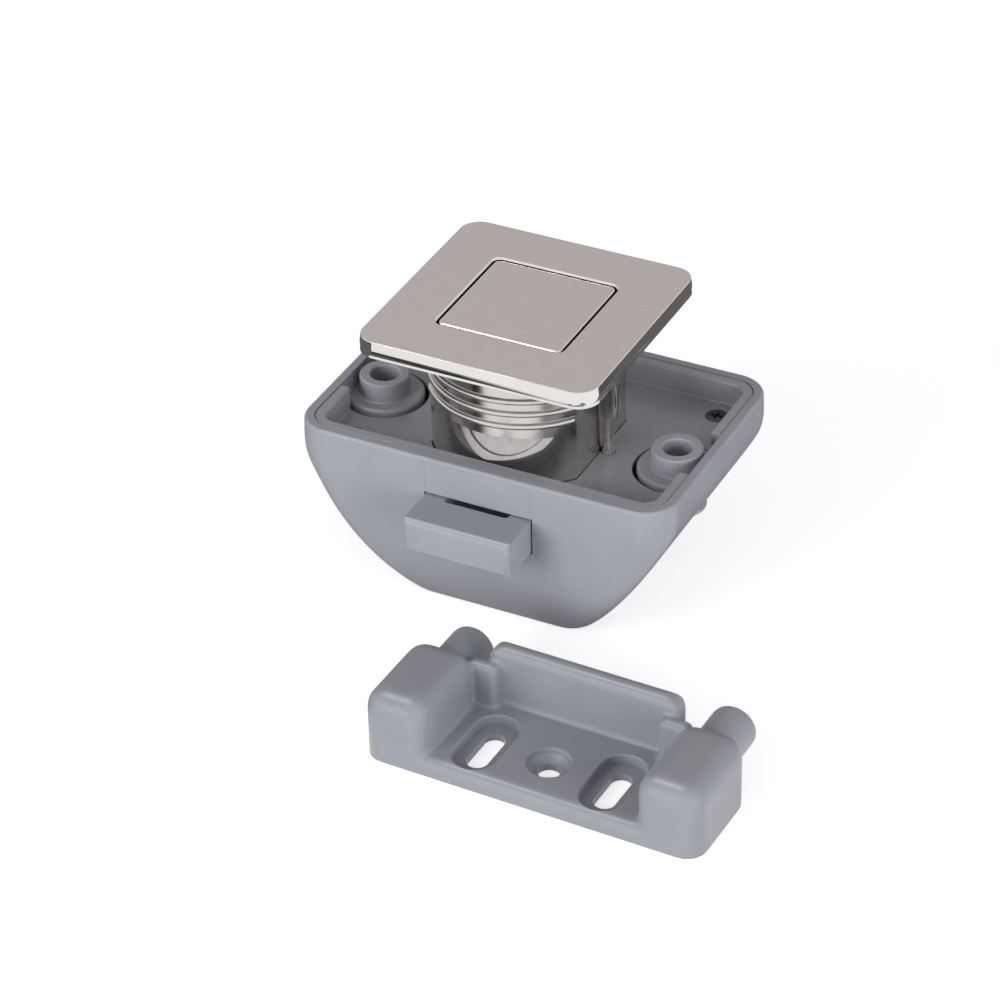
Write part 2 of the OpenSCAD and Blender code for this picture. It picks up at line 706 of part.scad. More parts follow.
module strike() {
    half = strike_l / 2;
    inner = half - block_l;
    floor_x = inner + 2 * block_soft;
    wall_x = inner - wall_end;
    wall_top = strike_h + wall_rise;
    step_x = inner - shoulder_in;
    color("#9599a2") translate([strike_x, strike_y, -case_h]) rotate([0, 0, strike_turn]) difference() {
        union() {
            soft_block([-floor_x, 0, -floor_soft],
                [2 * floor_x, block_d - block_soft, strike_floor + floor_soft], floor_soft);
            translate([-inner, block_soft, 0])
                cube([2 * inner, strike_d - block_soft - wall_soft, strike_floor]);
            for (x = [-half, inner])
                soft_block([x, 0, -block_soft], [block_l, block_d, strike_h + block_soft], block_soft);
            intersection() {
                soft_block([-wall_x, strike_d - wall_t, -wall_soft],
                    [2 * wall_x, wall_t, wall_top + wall_soft], wall_soft);
                translate([0, strike_d + over, 0]) rotate([90, 0, 0])
                    round_plate(2 * wall_x, 2 * wall_top, wall_t + 2 * over, wall_corner);
            }
            for (x = [-inner - shoulder_into, step_x])
                soft_block([x, shoulder_front, -shoulder_soft],
                    [shoulder_in + shoulder_into, shoulder_d, shoulder_top + shoulder_soft], shoulder_soft);
            for (x = [-1, 1]) translate([x * (inner + peg_in), block_d - block_soft, peg_z])
                rotate([-90, 0, 0]) {
                    cylinder(d = peg_d, h = peg_out + block_soft - peg_soft);
                    cylinder(d = peg_d - 2 * peg_soft, h = peg_out + block_soft);
                }
        }
        translate([-strike_l, -over, -strike_h]) cube([2 * strike_l, 2 * strike_d, strike_h]);
        for (x = [-1, 1]) translate([slot_x + x * slot_pitch / 2, slot_y, 0]) {
            translate([0, 0, -over])
                slot_between([0, -(slot_l - slot_w) / 2], [0, (slot_l - slot_w) / 2], slot_w, strike_h);
            translate([0, 0, slot_seat])
                slot_between([0, -(slot_recess_l - slot_recess_w) / 2],
                    [0, (slot_recess_l - slot_recess_w) / 2], slot_recess_w, strike_h);
        }
        translate([slot_x, slot_y, 0]) {
            translate([0, 0, -over]) cylinder(d = strike_bore, h = strike_h);
            translate([0, 0, strike_floor - countersink_deep])
                cylinder(d1 = strike_bore, d2 = countersink_d, h = countersink_deep);
            translate([0, 0, strike_floor]) cylinder(d = countersink_d, h = strike_h);
        }
    }
}

case();
tray();
tray_screws();
barrel();
barrel_screws();
alignment_pins();
rosette();
button();
plunger();
button_pin();
heart_cam();
latch_follower();
follower_bracket();
bracket_screws();
follower_spring();
bolt();
drive_pin();
button_spring();
spring_seat();
strike();
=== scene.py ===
"""Visible pieces of a push button cabinet lock and its strike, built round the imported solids."""
from math import asin, cos, pi, radians, sin

import bmesh
import bpy
from mathutils import Matrix, Vector


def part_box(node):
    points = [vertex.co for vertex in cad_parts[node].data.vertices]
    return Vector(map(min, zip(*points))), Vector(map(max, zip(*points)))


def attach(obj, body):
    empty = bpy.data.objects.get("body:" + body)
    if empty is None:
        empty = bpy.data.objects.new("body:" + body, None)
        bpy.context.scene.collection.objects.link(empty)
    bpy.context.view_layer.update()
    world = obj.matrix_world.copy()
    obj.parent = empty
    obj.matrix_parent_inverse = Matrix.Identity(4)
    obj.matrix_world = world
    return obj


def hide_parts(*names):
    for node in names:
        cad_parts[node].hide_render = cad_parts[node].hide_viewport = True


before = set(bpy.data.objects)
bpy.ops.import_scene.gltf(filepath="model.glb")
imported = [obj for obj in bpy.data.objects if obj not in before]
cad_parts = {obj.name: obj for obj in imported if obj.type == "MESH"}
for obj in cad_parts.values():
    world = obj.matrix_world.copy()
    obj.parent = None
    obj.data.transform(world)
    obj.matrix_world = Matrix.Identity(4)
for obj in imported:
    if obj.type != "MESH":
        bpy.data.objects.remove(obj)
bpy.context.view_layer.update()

bl_info = {
    "name": "Push button cabinet lock",
    "version": (1, 0, 0),
    "blender": (4, 5, 0),
    "location": "3D View > Sidebar > Cabinet lock",
    "description": "Builds the visible pieces of a push button cabinet lock and its strike",
    "category": "Object",
}

MM = 0.001
MERGE = 0.000002
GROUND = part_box("case")[0].z
SURE_CUT = 0.001
SIDES = 64
ROUND_SIDES = 144
SIGNS = (-1, 1)
FORWARD = (radians(90), 0, 0)
SIDEWAYS = (0, radians(90), 0)
FLAT_ANGLE = radians(0.2)


# Places and gaps that several pieces share

PIN_AT = 15.4 * MM
BARREL_LOW = -7 * MM
BARREL_GAP = 0.1 * MM
BARREL_SIDES = 96
FLANGE_THICK = 1.2 * MM
BUTTON_HOLE_CORNER = 1.5 * MM
TOP_ZONE = 0.1 * MM
UPRIGHT = 0.99


def length(name, description, default):
    """Property for a size in metres, given in millimetres."""
    return bpy.props.FloatProperty(
        name=name, description=description, default=default * MM, unit="LENGTH", precision=5)


def tint(name, description, default):
    """Property for a colour."""
    return bpy.props.FloatVectorProperty(
        name=name, description=description, default=default, subtype="COLOR", min=0, max=1)


class HousingSizes(bpy.types.PropertyGroup):
    """Sizes of the housing with its screw bosses."""

    width: length("Width", "Width of the housing at the rim", 71.4)
    depth: length("Depth", "Depth of the housing at the rim", 47.8)
    height: length("Height", "Height of the housing", 34.6)
    back: length("Back", "How far the housing's centre lies behind the button's axis", 2.3)
    wall: length("Wall", "Thickness of the side wall", 1.8)
    floor: length("Floor", "Thickness of the floor", 2.2)
    corner: length("Corner", "Radius of the corners at the rim", 6.2)
    corner_low: length("Low corner", "Radius of the corners at the bottom", 4)
    rim_edge: length("Rim edge", "Radius of the rim's outer edge", 0.6)
    boss_pitch: length("Boss pitch", "Distance between the two screw bosses", 57.2)
    boss_bore: length("Boss bore", "Diameter of the bore for a door screw", 5.2)
    boss_tube: length("Boss tube", "Outside diameter of a boss tube", 9.1)
    boss_flange: length("Boss flange", "Diameter of a boss flange", 14.2)
    boss_step: length("Boss step", "How far the boss flange lies below the rim", 3.8)
    head_recess: length("Head recess", "Diameter of the recess for a screw's head", 9)


class TraySizes(bpy.types.PropertyGroup):
    """Sizes of the tray in the housing's mouth."""

    deep: length("Depth", "Depth of the tray's floor below the rim", 4.6)
    floor: length("Floor", "Thickness of the tray's floor", 1.2)
    wall: length("Wall", "Thickness of the tray's wall", 1.9)
    gap: length("Gap", "Length of the gap in the wall beside each boss", 14)
    ring: length("Ring", "Width of the gap round a boss flange", 0.8)
    seam: length("Seam", "Gap between the tray and the housing's wall", 0.1)


class BarrelSizes(bpy.types.PropertyGroup):
    """Sizes of the metal barrel."""

    diameter: length("Diameter", "Diameter of the barrel", 34.8)
    flats: length("Flats", "Distance across the two flats", 28.2)
    flange: length("Flange", "Side of the base flange", 38)
    pitch: length("Pitch", "Pitch of the thread", 2.5)
    ridge_rise: length("Ridge rise", "How far the thread's ridge stands out", 0.6)
    ridge_width: length("Ridge width", "Width of the thread's ridge", 1.15)
    ridge_front: length("Ridge front", "Height of the lowest ridge at the front", 7.35)


class RosetteSizes(bpy.types.PropertyGroup):
    """Sizes of the rosette and the button in it."""

    door: length("Door", "Thickness of the door under the rosette", 18.3)
    side: length("Side", "Side of the rosette", 45)
    thick: length("Thickness", "Thickness of the rosette", 3.2)
    corner: length("Corner", "Radius of the rosette's corners", 4)
    edge: length("Edge", "Radius of the rosette's top edge", 0.14)
    post: length("Post", "Diameter of a post under the rosette", 4.3)
    post_bottom: length("Post bottom", "Height of the posts' lower ends", 3.3)
    button: length("Button", "Side of the button", 23.3)
    gap: length("Gap", "Gap round the button", 0.4)
    sink: length("Sink", "How far the button lies below the rosette's top", 0.2)
    button_height: length("Button height", "Height of the button's skirt", 16)
    button_edge: length("Button edge", "Radius of the button's top edge", 0.3)


class BoltSizes(bpy.types.PropertyGroup):
    """Sizes of the sliding bolt."""

    width: length("Width", "Width of the bolt", 20.2)
    height: length("Height", "Height of the bolt", 6.7)
    aside: length("Aside", "How far the bolt's middle lies beside the button's axis", 0.6)
    throw: length("Throw", "How far the bolt stands out of the housing", 8.7)
    soft: length("Soft edge", "Radius of the bolt's upper front edge", 1.2)
    soft_low: length("Low soft edge", "Radius of the bolt's lower front edge", 0.8)
    soft_end: length("Soft end", "Radius of the bolt's upright front edges", 1)
    groove: length("Groove", "Width of the groove in the bolt's top", 12.4)


class StrikeSizes(bpy.types.PropertyGroup):
    """Sizes and place of the strike."""

    length: length("Length", "Length of the strike", 63)
    depth: length("Depth", "Depth of the strike up to the back of its wall", 24)
    block_depth: length("Block depth", "Depth of the two blocks", 19.7)
    height: length("Height", "Height of the two blocks", 13.3)
    floor: length("Floor", "Thickness of the floor", 3.3)
    block: length("Block", "Length of one block", 12)
    soft: length("Soft edge", "Radius of the blocks' edges", 3.6)
    wall: length("Wall", "Thickness of the back wall", 3.6)
    wall_rise: length("Wall rise", "How far the wall stands above the blocks", 0.9)
    slot_pitch: length("Slot pitch", "Distance between the two slots", 24)
    slot_aside: length("Slots aside", "How far the holes' middle lies beside the strike's", -0.5)
    slot_line: length("Slot line", "How far the holes lie behind the strike's front", 9.2)
    slot: length("Slot", "Width of the slots", 3.9)
    bore: length("Bore", "Diameter of the screw hole", 4)
    peg: length("Peg", "Diameter of the pegs", 8.4)
    x: length("Place along", "Middle of the strike along the housing", 29.3)
    y: length("Place in front", "Front of the strike before the button's axis", -62.2)
    turn: bpy.props.FloatProperty(
        name="Turn", description="How far the strike is turned on the ground",
        default=radians(-1.9), subtype="ANGLE")


class Finishes(bpy.types.PropertyGroup):
    """Colours of the materials."""

    housing: tint("Housing", "Plastic of the housing and bolt", (0.325, 0.332, 0.362))
    strike: tint("Strike", "Plastic of the strike", (0.285, 0.292, 0.32))
    tray: tint("Tray", "Plastic of the tray", (0.325, 0.33, 0.355))
    polished: tint("Polished nickel", "Colour of the polished metal", (0.82, 0.79, 0.76))
    cast: tint("Cast nickel", "Colour of the barrel's plated casting", (0.70, 0.665, 0.63))
    satin: tint("Satin nickel", "Colour of the barrel's scoop", (0.58, 0.545, 0.525))
    brushed: tint("Brushed nickel", "Colour of the brushed metal", (0.66, 0.60, 0.575))
    steel: tint("Steel", "Colour of screws, pins and springs", (0.62, 0.63, 0.65))
    blackened: tint("Blackened steel", "Colour of the screws in the tray", (0.12, 0.12, 0.13))
    dark: tint("Dark plastic", "Colour of the plunger", (0.03, 0.032, 0.037))
    pale: tint("Pale plastic", "Colour of the heart cam", (0.68, 0.65, 0.54))


# Picking and placing

def let_go():
    """Leaves edit mode and deselects everything."""
    if bpy.context.mode != "OBJECT":
        bpy.ops.object.mode_set(mode="OBJECT")
    bpy.ops.object.select_all(action="DESELECT")


def pick(*things):
    """Selects only these things and makes the first one active."""
    let_go()
    for thing in things:
        thing.select_set(True)
    bpy.context.view_layer.objects.active = things[0]
    return things[0]


def edit(thing, mode="VERT"):
    """Opens a thing in edit mode with nothing selected."""
    pick(thing)
    bpy.ops.object.mode_set(mode="EDIT")
    bpy.ops.mesh.select_mode(type=mode)
    bpy.ops.mesh.select_all(action="DESELECT")


def edit_all(thing, mode="VERT"):
    """Opens a thing in edit mode with everything selected."""
    edit(thing, mode)
    bpy.ops.mesh.select_all(action="SELECT")


def settle(thing):
    """Moves a thing's place, turn and scale into its mesh."""
    pick(thing)
    bpy.ops.object.transform_apply(location=True, rotation=True, scale=True)
    return thing


def tidy_mesh(thing):
    """Merges doubles and turns all faces outwards."""
    edit_all(thing)
    bpy.ops.mesh.remove_doubles(threshold=MERGE)
    bpy.ops.mesh.select_all(action="SELECT")
    bpy.ops.mesh.normals_make_consistent(inside=False)
    let_go()
    return thing


def select_where(thing, kind, test):
    """Selects the faces or the edges of a thing in edit mode that pass a test."""
    mesh = bmesh.from_edit_mesh(thing.data)
    for part in getattr(mesh, kind):
        part.select_set(bool(test(part)))
    mesh.select_flush_mode()
    bmesh.update_edit_mesh(thing.data)


# Basic forms

def block(low, high):
    """Plain block between two corners, as a start or a cutter."""
    let_go()
    middle = [(a + b) / 2 for a, b in zip(low, high)]
    bpy.ops.mesh.primitive_cube_add(size=1, location=middle)
    thing = bpy.context.object
    thing.scale = [b - a for a, b in zip(low, high)]
    return settle(thing)


def rod(radius, low, high, at=(0, 0), sides=SIDES):
    """Upright round rod between two heights."""
    let_go()
    bpy.ops.mesh.primitive_cylinder_add(
        vertices=sides, radius=radius, depth=high - low, location=(at[0], at[1], (low + high) / 2))
    return settle(bpy.context.object)


def taper(radius_low, radius_high, low, high, at=(0, 0), sides=SIDES):
    """Upright round rod with a different radius at each end."""
    let_go()
    bpy.ops.mesh.primitive_cone_add(
        vertices=sides, radius1=radius_low, radius2=radius_high, depth=high - low,
        location=(at[0], at[1], (low + high) / 2))
    return settle(bpy.context.object)


def plate(width, depth, low, high, corner, at=(0, 0), steps=8):
    """Plate with round upright corners."""
    let_go()
    bpy.ops.mesh.primitive_plane_add(size=1, location=(at[0], at[1], low))
    thing = bpy.context.object
    thing.scale = (width, depth, 1)
    settle(thing)
    edit_all(thing)
    bpy.ops.mesh.bevel(
        offset_type="OFFSET", offset=corner, segments=steps, affect="VERTICES", clamp_overlap=False)
    bpy.ops.mesh.select_all(action="SELECT")
    bpy.ops.mesh.extrude_region_move(TRANSFORM_OT_translate={"value": (0, 0, high - low)})
    return tidy_mesh(thing)


def trace(points):
    """Line through points, drawn from one vertex by extruding it."""
    let_go()
    bpy.ops.mesh.primitive_plane_add(size=MM, location=points[0])
    thing = settle(bpy.context.object)
    edit_all(thing)
    bpy.ops.mesh.merge(type="CENTER")
    for start, end in zip(points, points[1:]):
        step = Vector(end) - Vector(start)
        bpy.ops.mesh.extrude_vertices_move(TRANSFORM_OT_translate={"value": step})
    let_go()
    return thing


def lathe(outline, at=(0, 0), sides=SIDES):
    """Turned form from an outline of radii and heights, spun about an upright axis."""
    thing = trace([(at[0] + radius, at[1], height) for radius, height in outline])
    edit_all(thing)
    bpy.ops.mesh.spin(steps=sides, angle=2 * pi, center=(at[0], at[1], 0), axis=(0, 0, 1))
    return tidy_mesh(thing)


def prism(outline, low, high):
    """Solid with an outline of depths and heights, drawn out along X from low to high."""
    thing = trace([(low, y, z) for y, z in list(outline) + [outline[0]]])
    tidy_mesh(thing)
    edit_all(thing)
    bpy.ops.mesh.edge_face_add()
    bpy.ops.mesh.extrude_region_move(TRANSFORM_OT_translate={"value": (high - low, 0, 0)})
    return tidy_mesh(thing)


def arc(middle, radius, start, end, steps):
    """Points on an arc in the plane of radii and heights."""
    turns = [start + (end - start) * i / steps for i in range(steps + 1)]
    return [(middle[0] + radius * cos(a), middle[1] + radius * sin(a)) for a in turns]


def quarter(steps):
    """Angles of a quarter turn in even steps."""
    return [pi / 2 * i / steps for i in range(steps + 1)]


def copy_of(thing):
    """Copy with its own mesh."""
    pick(thing)
    bpy.ops.object.duplicate(linked=False)
    return bpy.context.object


def moved(thing, x=0, y=0, z=0, turn=(0, 0, 0)):
    """Turns a thing, moves it and settles it."""
    thing.rotation_euler = turn
    thing.location = (x, y, z)
    return settle(thing)


def mirrored_pair(thing):
    """The thing and its mirror image across the plane x = 0, joined."""
    twin = copy_of(thing)
    edit_all(twin)
    bpy.ops.transform.mirror(constraint_axis=(True, False, False), center_override=(0, 0, 0))
    tidy_mesh(twin)
    return joined([thing, twin])


def joined(things):
    """Joins separate things into the first one."""
    pick(*things)
    bpy.ops.object.join()
    return bpy.context.object


# Cutting and finishing

def modified(thing, kind, **settings):
    """Applies one modifier with these settings."""
    pick(thing)
    bpy.ops.object.modifier_add(type=kind)
    step = thing.modifiers[-1]
    for key, value in settings.items():
        setattr(step, key, value)
    bpy.ops.object.modifier_apply(modifier=step.name)
    return thing


def boolean(thing, tools, operation):
    """Applies one exact boolean after another and removes their tools."""
    for tool in tools:
        modified(thing, "BOOLEAN", operation=operation, solver="EXACT", object=tool)
        pick(tool)
        bpy.ops.object.delete()
    return thing


def cut(thing, *tools):
    """Cuts the tools out of a thing."""
    return boolean(thing, tools, "DIFFERENCE")


def weld(thing, *tools):
    """Joins the tools and a thing into one skin."""
    return boolean(thing, tools, "UNION")


def common(thing, *tools):
    """Keeps what a thing shares with the tools."""
    return boolean(thing, tools, "INTERSECT")


def soften(thing, width, steps=3, angle=40):
    """Rounds the sharp edges of a thing."""
    return modified(thing, "BEVEL", width=width, segments=steps, limit_method="ANGLE",
                    angle_limit=radians(angle), miter_outer="MITER_ARC", use_clamp_overlap=True)


def clean(thing):
    """Merges the slivers that booleans leave and dissolves edges inside flat faces."""
    edit_all(thing)
    bpy.ops.mesh.remove_doubles(threshold=MERGE)
    bpy.ops.mesh.select_all(action="SELECT")
    bpy.ops.mesh.dissolve_limited(angle_limit=FLAT_ANGLE)
    let_go()
    return thing


def smooth(thing, angle=32):
    """Smooth shading up to an angle, with flat faces kept flat."""
    pick(thing)
    bpy.ops.object.shade_smooth_by_angle(angle=radians(angle))
    return modified(thing, "WEIGHTED_NORMAL", keep_sharp=True)


def dress(thing, *materials):
    """Gives a thing its materials."""
    thing.data.materials.clear()
    for material in materials:
        thing.data.materials.append(material)
    return thing


def dress_faces(thing, number, test):
    """Gives the material of that number to the faces that pass a test."""
    for face in thing.data.polygons:
        if test(face):
            face.material_index = number


def brush_top(context, thing, high):
    """Polished plating all over a thing, and brushed plating on its flat top."""
    dress(thing, finish(context, "nickel"), finish(context, "brushed_nickel"))
    dress_faces(thing, 1, lambda face: face.normal.z > UPRIGHT and face.center.z > high - TOP_ZONE)


def finished(thing, name, body, slot, *nodes):
    """Names a finished piece, ties it to its body and hides the solids that it stands for; the slot is not
    used.
    """
    thing.name = name
    thing.data.name = name
    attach(thing, body)
    if nodes:
        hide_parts(*nodes)
    return thing


# Materials

NOISE_MIDDLE = (0.3, 0.7)


def new_material(name):
    """New node material. Returns it with its nodes, its link call and its Principled shader."""
    material = bpy.data.materials.new(name)
    material.use_nodes = True
    nodes = material.node_tree.nodes
    return material, nodes, material.node_tree.links.new, nodes["Principled BSDF"]


def new_node(nodes, kind, values=None, **settings):
    """New shader node with its settings and the values of its inputs."""
    node = nodes.new("ShaderNode" + kind)
    for key, value in settings.items():
        setattr(node, key, value)
    for key, value in (values or {}).items():
        node.inputs[key].default_value = value
    return node


def object_noise(nodes, link, scale, stretch=(1, 1, 1), detail=4.0):
    """Noise on the piece's own coordinates."""
    place = new_node(nodes, "TexCoord")
    mapping = new_node(nodes, "Mapping", {"Scale": stretch})
    noise = new_node(nodes, "TexNoise", {"Scale": scale, "Detail": detail})
    link(place.outputs["Object"], mapping.inputs["Vector"])
    link(mapping.outputs["Vector"], noise.inputs["Vector"])
    return noise


def spread(nodes, link, source, low, high):
    """Turns a noise's middle range into values from low to high."""
    start, end = NOISE_MIDDLE
    ramp = new_node(nodes, "MapRange", {"From Min": start, "From Max": end, "To Min": low, "To Max": high})
    link(source.outputs["Fac"], ramp.inputs["Value"])
    return ramp


def tinted(nodes, link, source, colour, low, high):
    """Colour that varies in brightness with a noise."""
    darker = [c * low for c in colour] + [1]
    lighter = [min(1, c * high) for c in colour] + [1]
    mix = new_node(nodes, "Mix", {"A": darker, "B": lighter}, data_type="RGBA")
    link(spread(nodes, link, source, 0, 1).outputs["Result"], mix.inputs["Factor"])
    return mix.outputs["Result"]


def bumped(nodes, link, source, strength, distance, below=None):
    """Bump from a noise, on top of another bump if one is given."""
    bump = new_node(nodes, "Bump", {"Strength": strength, "Distance": distance})
    link(source.outputs["Fac"], bump.inputs["Height"])
    if below:
        link(below.outputs["Normal"], bump.inputs["Normal"])
    return bump


def plastic(name, colour, rough=(0.30, 0.42), grain=0.25):
    """Moulded plastic with a fine grain, faint mottling and patches that shine more."""
    material, nodes, link, shader = new_material(name)
    mottle = object_noise(nodes, link, scale=90, detail=3)
    patches = object_noise(nodes, link, scale=160, detail=2)
    fine = object_noise(nodes, link, scale=5200, detail=2)
    wave = object_noise(nodes, link, scale=260, detail=2)
    link(tinted(nodes, link, mottle, colour, 0.965, 1.035), shader.inputs["Base Color"])
    link(spread(nodes, link, patches, *rough).outputs["Result"], shader.inputs["Roughness"])
    below = bumped(nodes, link, wave, strength=0.25, distance=0.00004)
    link(bumped(nodes, link, fine, grain, 0.00001, below).outputs["Normal"], shader.inputs["Normal"])
    shader.inputs["Specular IOR Level"].default_value = 0.5
    return material


def polished_metal(name, colour, rough=(0.09, 0.17), ripples=0.12):
    """Polished plating: faint ripples and small changes in shine."""
    material, nodes, link, shader = new_material(name)
    cloud = object_noise(nodes, link, scale=150, detail=3)
    ripple = object_noise(nodes, link, scale=420, detail=1)
    link(tinted(nodes, link, cloud, colour, 0.97, 1.03), shader.inputs["Base Color"])
    link(spread(nodes, link, cloud, *rough).outputs["Result"], shader.inputs["Roughness"])
    link(bumped(nodes, link, ripple, ripples, 0.00003).outputs["Normal"], shader.inputs["Normal"])
    shader.inputs["Metallic"].default_value = 1
    return material


def brushed_metal(name, colour, stretch=(1, 28, 1), rough=(0.34, 0.46)):
    """Plating brushed in fine straight streaks along one axis."""
    material, nodes, link, shader = new_material(name)
    streak = object_noise(nodes, link, scale=240, stretch=stretch, detail=6)
    hair = object_noise(nodes, link, scale=520, stretch=stretch, detail=3)
    link(tinted(nodes, link, streak, colour, 0.94, 1.06), shader.inputs["Base Color"])
    link(spread(nodes, link, hair, *rough).outputs["Result"], shader.inputs["Roughness"])
    link(bumped(nodes, link, hair, 0.22, 0.00001).outputs["Normal"], shader.inputs["Normal"])
    shader.inputs["Metallic"].default_value = 1
    return material


def finish(context, key):
    """Material for a key, made once."""
    name = f"lock_{key}"
    if name in bpy.data.materials:
        return bpy.data.materials[name]
    colours = context.scene.lock_finishes
    makers = {
        "grey_plastic": lambda: plastic(name, colours.housing),
        "strike_plastic": lambda: plastic(name, colours.strike),
        "tray_plastic": lambda: plastic(name, colours.tray, rough=(0.25, 0.28)),
        "dark_plastic": lambda: plastic(name, colours.dark),
        "pale_plastic": lambda: plastic(name, colours.pale),
        "nickel": lambda: polished_metal(name, colours.polished),
        "cast_nickel": lambda: polished_metal(name, colours.cast, rough=(0.12, 0.24), ripples=0.35),
        "satin_nickel": lambda: brushed_metal(name, colours.satin, (6, 1, 1), rough=(0.3, 0.55)),
        "brushed_nickel": lambda: brushed_metal(name, colours.brushed),
        "steel": lambda: polished_metal(name, colours.steel, rough=(0.22, 0.34)),
        "dark_steel": lambda: polished_metal(name, colours.blackened, rough=(0.3, 0.4)),
    }
    return makers[key]()


# Form of the housing

END_STRAIGHT = 4.1 * MM
END_SLANT = radians(28)
END_SLANT_LOW = radians(40)
FRONT_STRAIGHT = 13.4 * MM
FRONT_SLANT = radians(37.5)
BACK_STRAIGHT = 8.4 * MM
BACK_SLANT = radians(23)
BACK_SLANT_LOW = radians(43)
SHOULDER_R = 10 * MM
END_KEEL_R = 5.6 * MM
FRONT_KEEL_R = 2.5 * MM
BACK_KEEL_R = 5.5 * MM
FIRST_LEVEL = 0.06
OUTSIDE_LEVELS = 44
INSIDE_LEVELS = 16
RIM_DROP = 0.01 * MM
ABOVE_RIM = 1 * MM
INNER_FLOOR = 0.5 * MM
BOSS_DROP = 0.1 * MM
BOSS_EDGE = 0.25 * MM
BOSS_FILLET = 0.35 * MM
BOSS_SHOULDER = 0.6 * MM
BOSS_SIDES = 72
POST_SIDES = 32
TRAY_POST_R = 2.8 * MM
FLANGE_POST_R = 3 * MM
RAIL_AWAY = 1.1 * MM
RAIL_HALF = 0.8 * MM
BOLT_BELOW = 0.6 * MM
PAD_PROUD = 0.12 * MM
PAD_DEEP = 1 * MM
PAD_EDGE = 0.1 * MM
RING_WIDE = 0.7 * MM
RING_LOW = -11.6 * MM
RING_HIGH = -6 * MM
HEAD_RECESS_TOP = -8 * MM
WINDOW_GAP = 0.3 * MM
WINDOW_BEYOND = 0.5 * MM
TRAY_SCREW_AT = (28 * MM, 16 * MM)
FLANGE_SCREW_AT = (16 * MM, 15.2 * MM)


def arc_drop(t, radius, slant):
    """How far an arc that starts at a slant falls back over the height t."""
    return radius * (cos(slant) - cos(asin(min(1, sin(slant) + t / radius))))


def wall_drop(t, height, straight, slant, slant_low, keel):
    """How far a wall has fallen back at the depth t: straight, shoulder, flank and keel."""
    t = max(0, t - straight)
    shoulder = SHOULDER_R * sin(slant)
    flank_h = height - straight - shoulder - keel * (1 - sin(slant_low))
    flank_r = flank_h / (sin(slant_low) - sin(slant))
    if t <= shoulder:
        return arc_drop(t, SHOULDER_R, 0)
    drop = arc_drop(shoulder, SHOULDER_R, 0)
    if t <= shoulder + flank_h:
        return drop + arc_drop(t - shoulder, flank_r, slant)
    drop += arc_drop(flank_h, flank_r, slant)
    return drop + arc_drop(t - shoulder - flank_h, keel, slant_low)


def boat_level(sizes, t, z, inset, wall):
    """One level of the housing: its height, half width, front, back and corner radius."""
    height = sizes.height
    end = wall_drop(t, height, END_STRAIGHT, END_SLANT, END_SLANT_LOW, END_KEEL_R)
    front = wall_drop(t, height, FRONT_STRAIGHT, 0, FRONT_SLANT, FRONT_KEEL_R)
    back = wall_drop(t, height, BACK_STRAIGHT, BACK_SLANT, BACK_SLANT_LOW, BACK_KEEL_R)
    corner = sizes.corner + (sizes.corner_low - sizes.corner) * t / height
    return (z, sizes.width / 2 - wall - inset - end, sizes.back - sizes.depth / 2 + wall + inset + front,
            sizes.back + sizes.depth / 2 - wall - inset - back, corner - wall - inset)


def boat_levels(sizes, wall, floor, top, count, edge=0.0, edge_steps=5):
    """All levels of the housing's form, from the top down, with a round edge at the top."""
    turns = quarter(edge_steps) if edge else [0]
    levels = [boat_level(sizes, 0, top - edge * (1 - cos(a)), edge * (1 - sin(a)), wall) for a in turns]
    for i in range(1, count + 1):
        share = 1 - (1 - i / count) ** 2
        t = sizes.height * (FIRST_LEVEL + (1 - FIRST_LEVEL) * share)
        levels.append(boat_level(sizes, t, -t * (sizes.height - floor) / sizes.height, 0, wall))
    return levels


def loft(levels, steps=10):
    """Solid with round upright corners through levels of height, half width, front, back and corner."""
    z, half, front, back, corner = levels[0]
    thing = plate(2 * half, back - front, z, z - MERGE, corner, at=(0, (front + back) / 2), steps=steps)
    edit(thing, "FACE")
    select_where(thing, "faces", lambda face: face.normal.z > -0.5)
    bpy.ops.mesh.delete(type="ONLY_FACE")
    bpy.ops.mesh.select_all(action="SELECT")
    bpy.ops.mesh.delete_loose()
    select_where(thing, "faces", lambda face: True)
    for old, new in zip(levels, levels[1:]):
        bpy.ops.mesh.extrude_region_move(TRANSFORM_OT_translate={"value": (0, 0, new[0] - old[0])})
        bpy.ops.mesh.select_mode(type="VERT")
        redraw_ring(thing, old, new)
        bpy.ops.mesh.select_mode(type="FACE")
    bpy.ops.mesh.select_mode(type="EDGE")
    bpy.ops.mesh.select_all(action="DESELECT")
    select_where(thing, "edges", lambda edge: edge.is_boundary)
    bpy.ops.mesh.edge_face_add()
    return tidy_mesh(thing)


def redraw_ring(thing, old, new):
    """Takes the four corners of the selected ring to their new places and radii."""
    mesh = bmesh.from_edit_mesh(thing.data)
    ring = [v.index for v in mesh.verts if v.select]
    middle = (old[2] + old[3]) / 2
    scale = new[4] / old[4]
    for x in SIGNS:
        for y in SIGNS:
            mesh = bmesh.from_edit_mesh(thing.data)
            mesh.verts.ensure_lookup_table()
            for v in mesh.verts:
                v.select_set(False)
            for i in ring:
                v = mesh.verts[i]
                if v.co.x * x > 0 and (v.co.y - middle) * y > 0:
                    v.select_set(True)
            bmesh.update_edit_mesh(thing.data)
            start = Vector((x * (old[1] - old[4]), corner_y(old, y), new[0]))
            end = Vector((x * (new[1] - new[4]), corner_y(new, y), new[0]))
            bpy.ops.transform.resize(value=(scale, scale, 1), center_override=start)
            bpy.ops.transform.translate(value=end - start)
    mesh = bmesh.from_edit_mesh(thing.data)
    mesh.verts.ensure_lookup_table()
    for i in ring:
        mesh.verts[i].select_set(True)
    mesh.select_flush(True)
    bmesh.update_edit_mesh(thing.data)


def corner_y(level, end):
    """Middle of a level's corner at its front or back."""
    return level[3] - level[4] if end > 0 else level[2] + level[4]


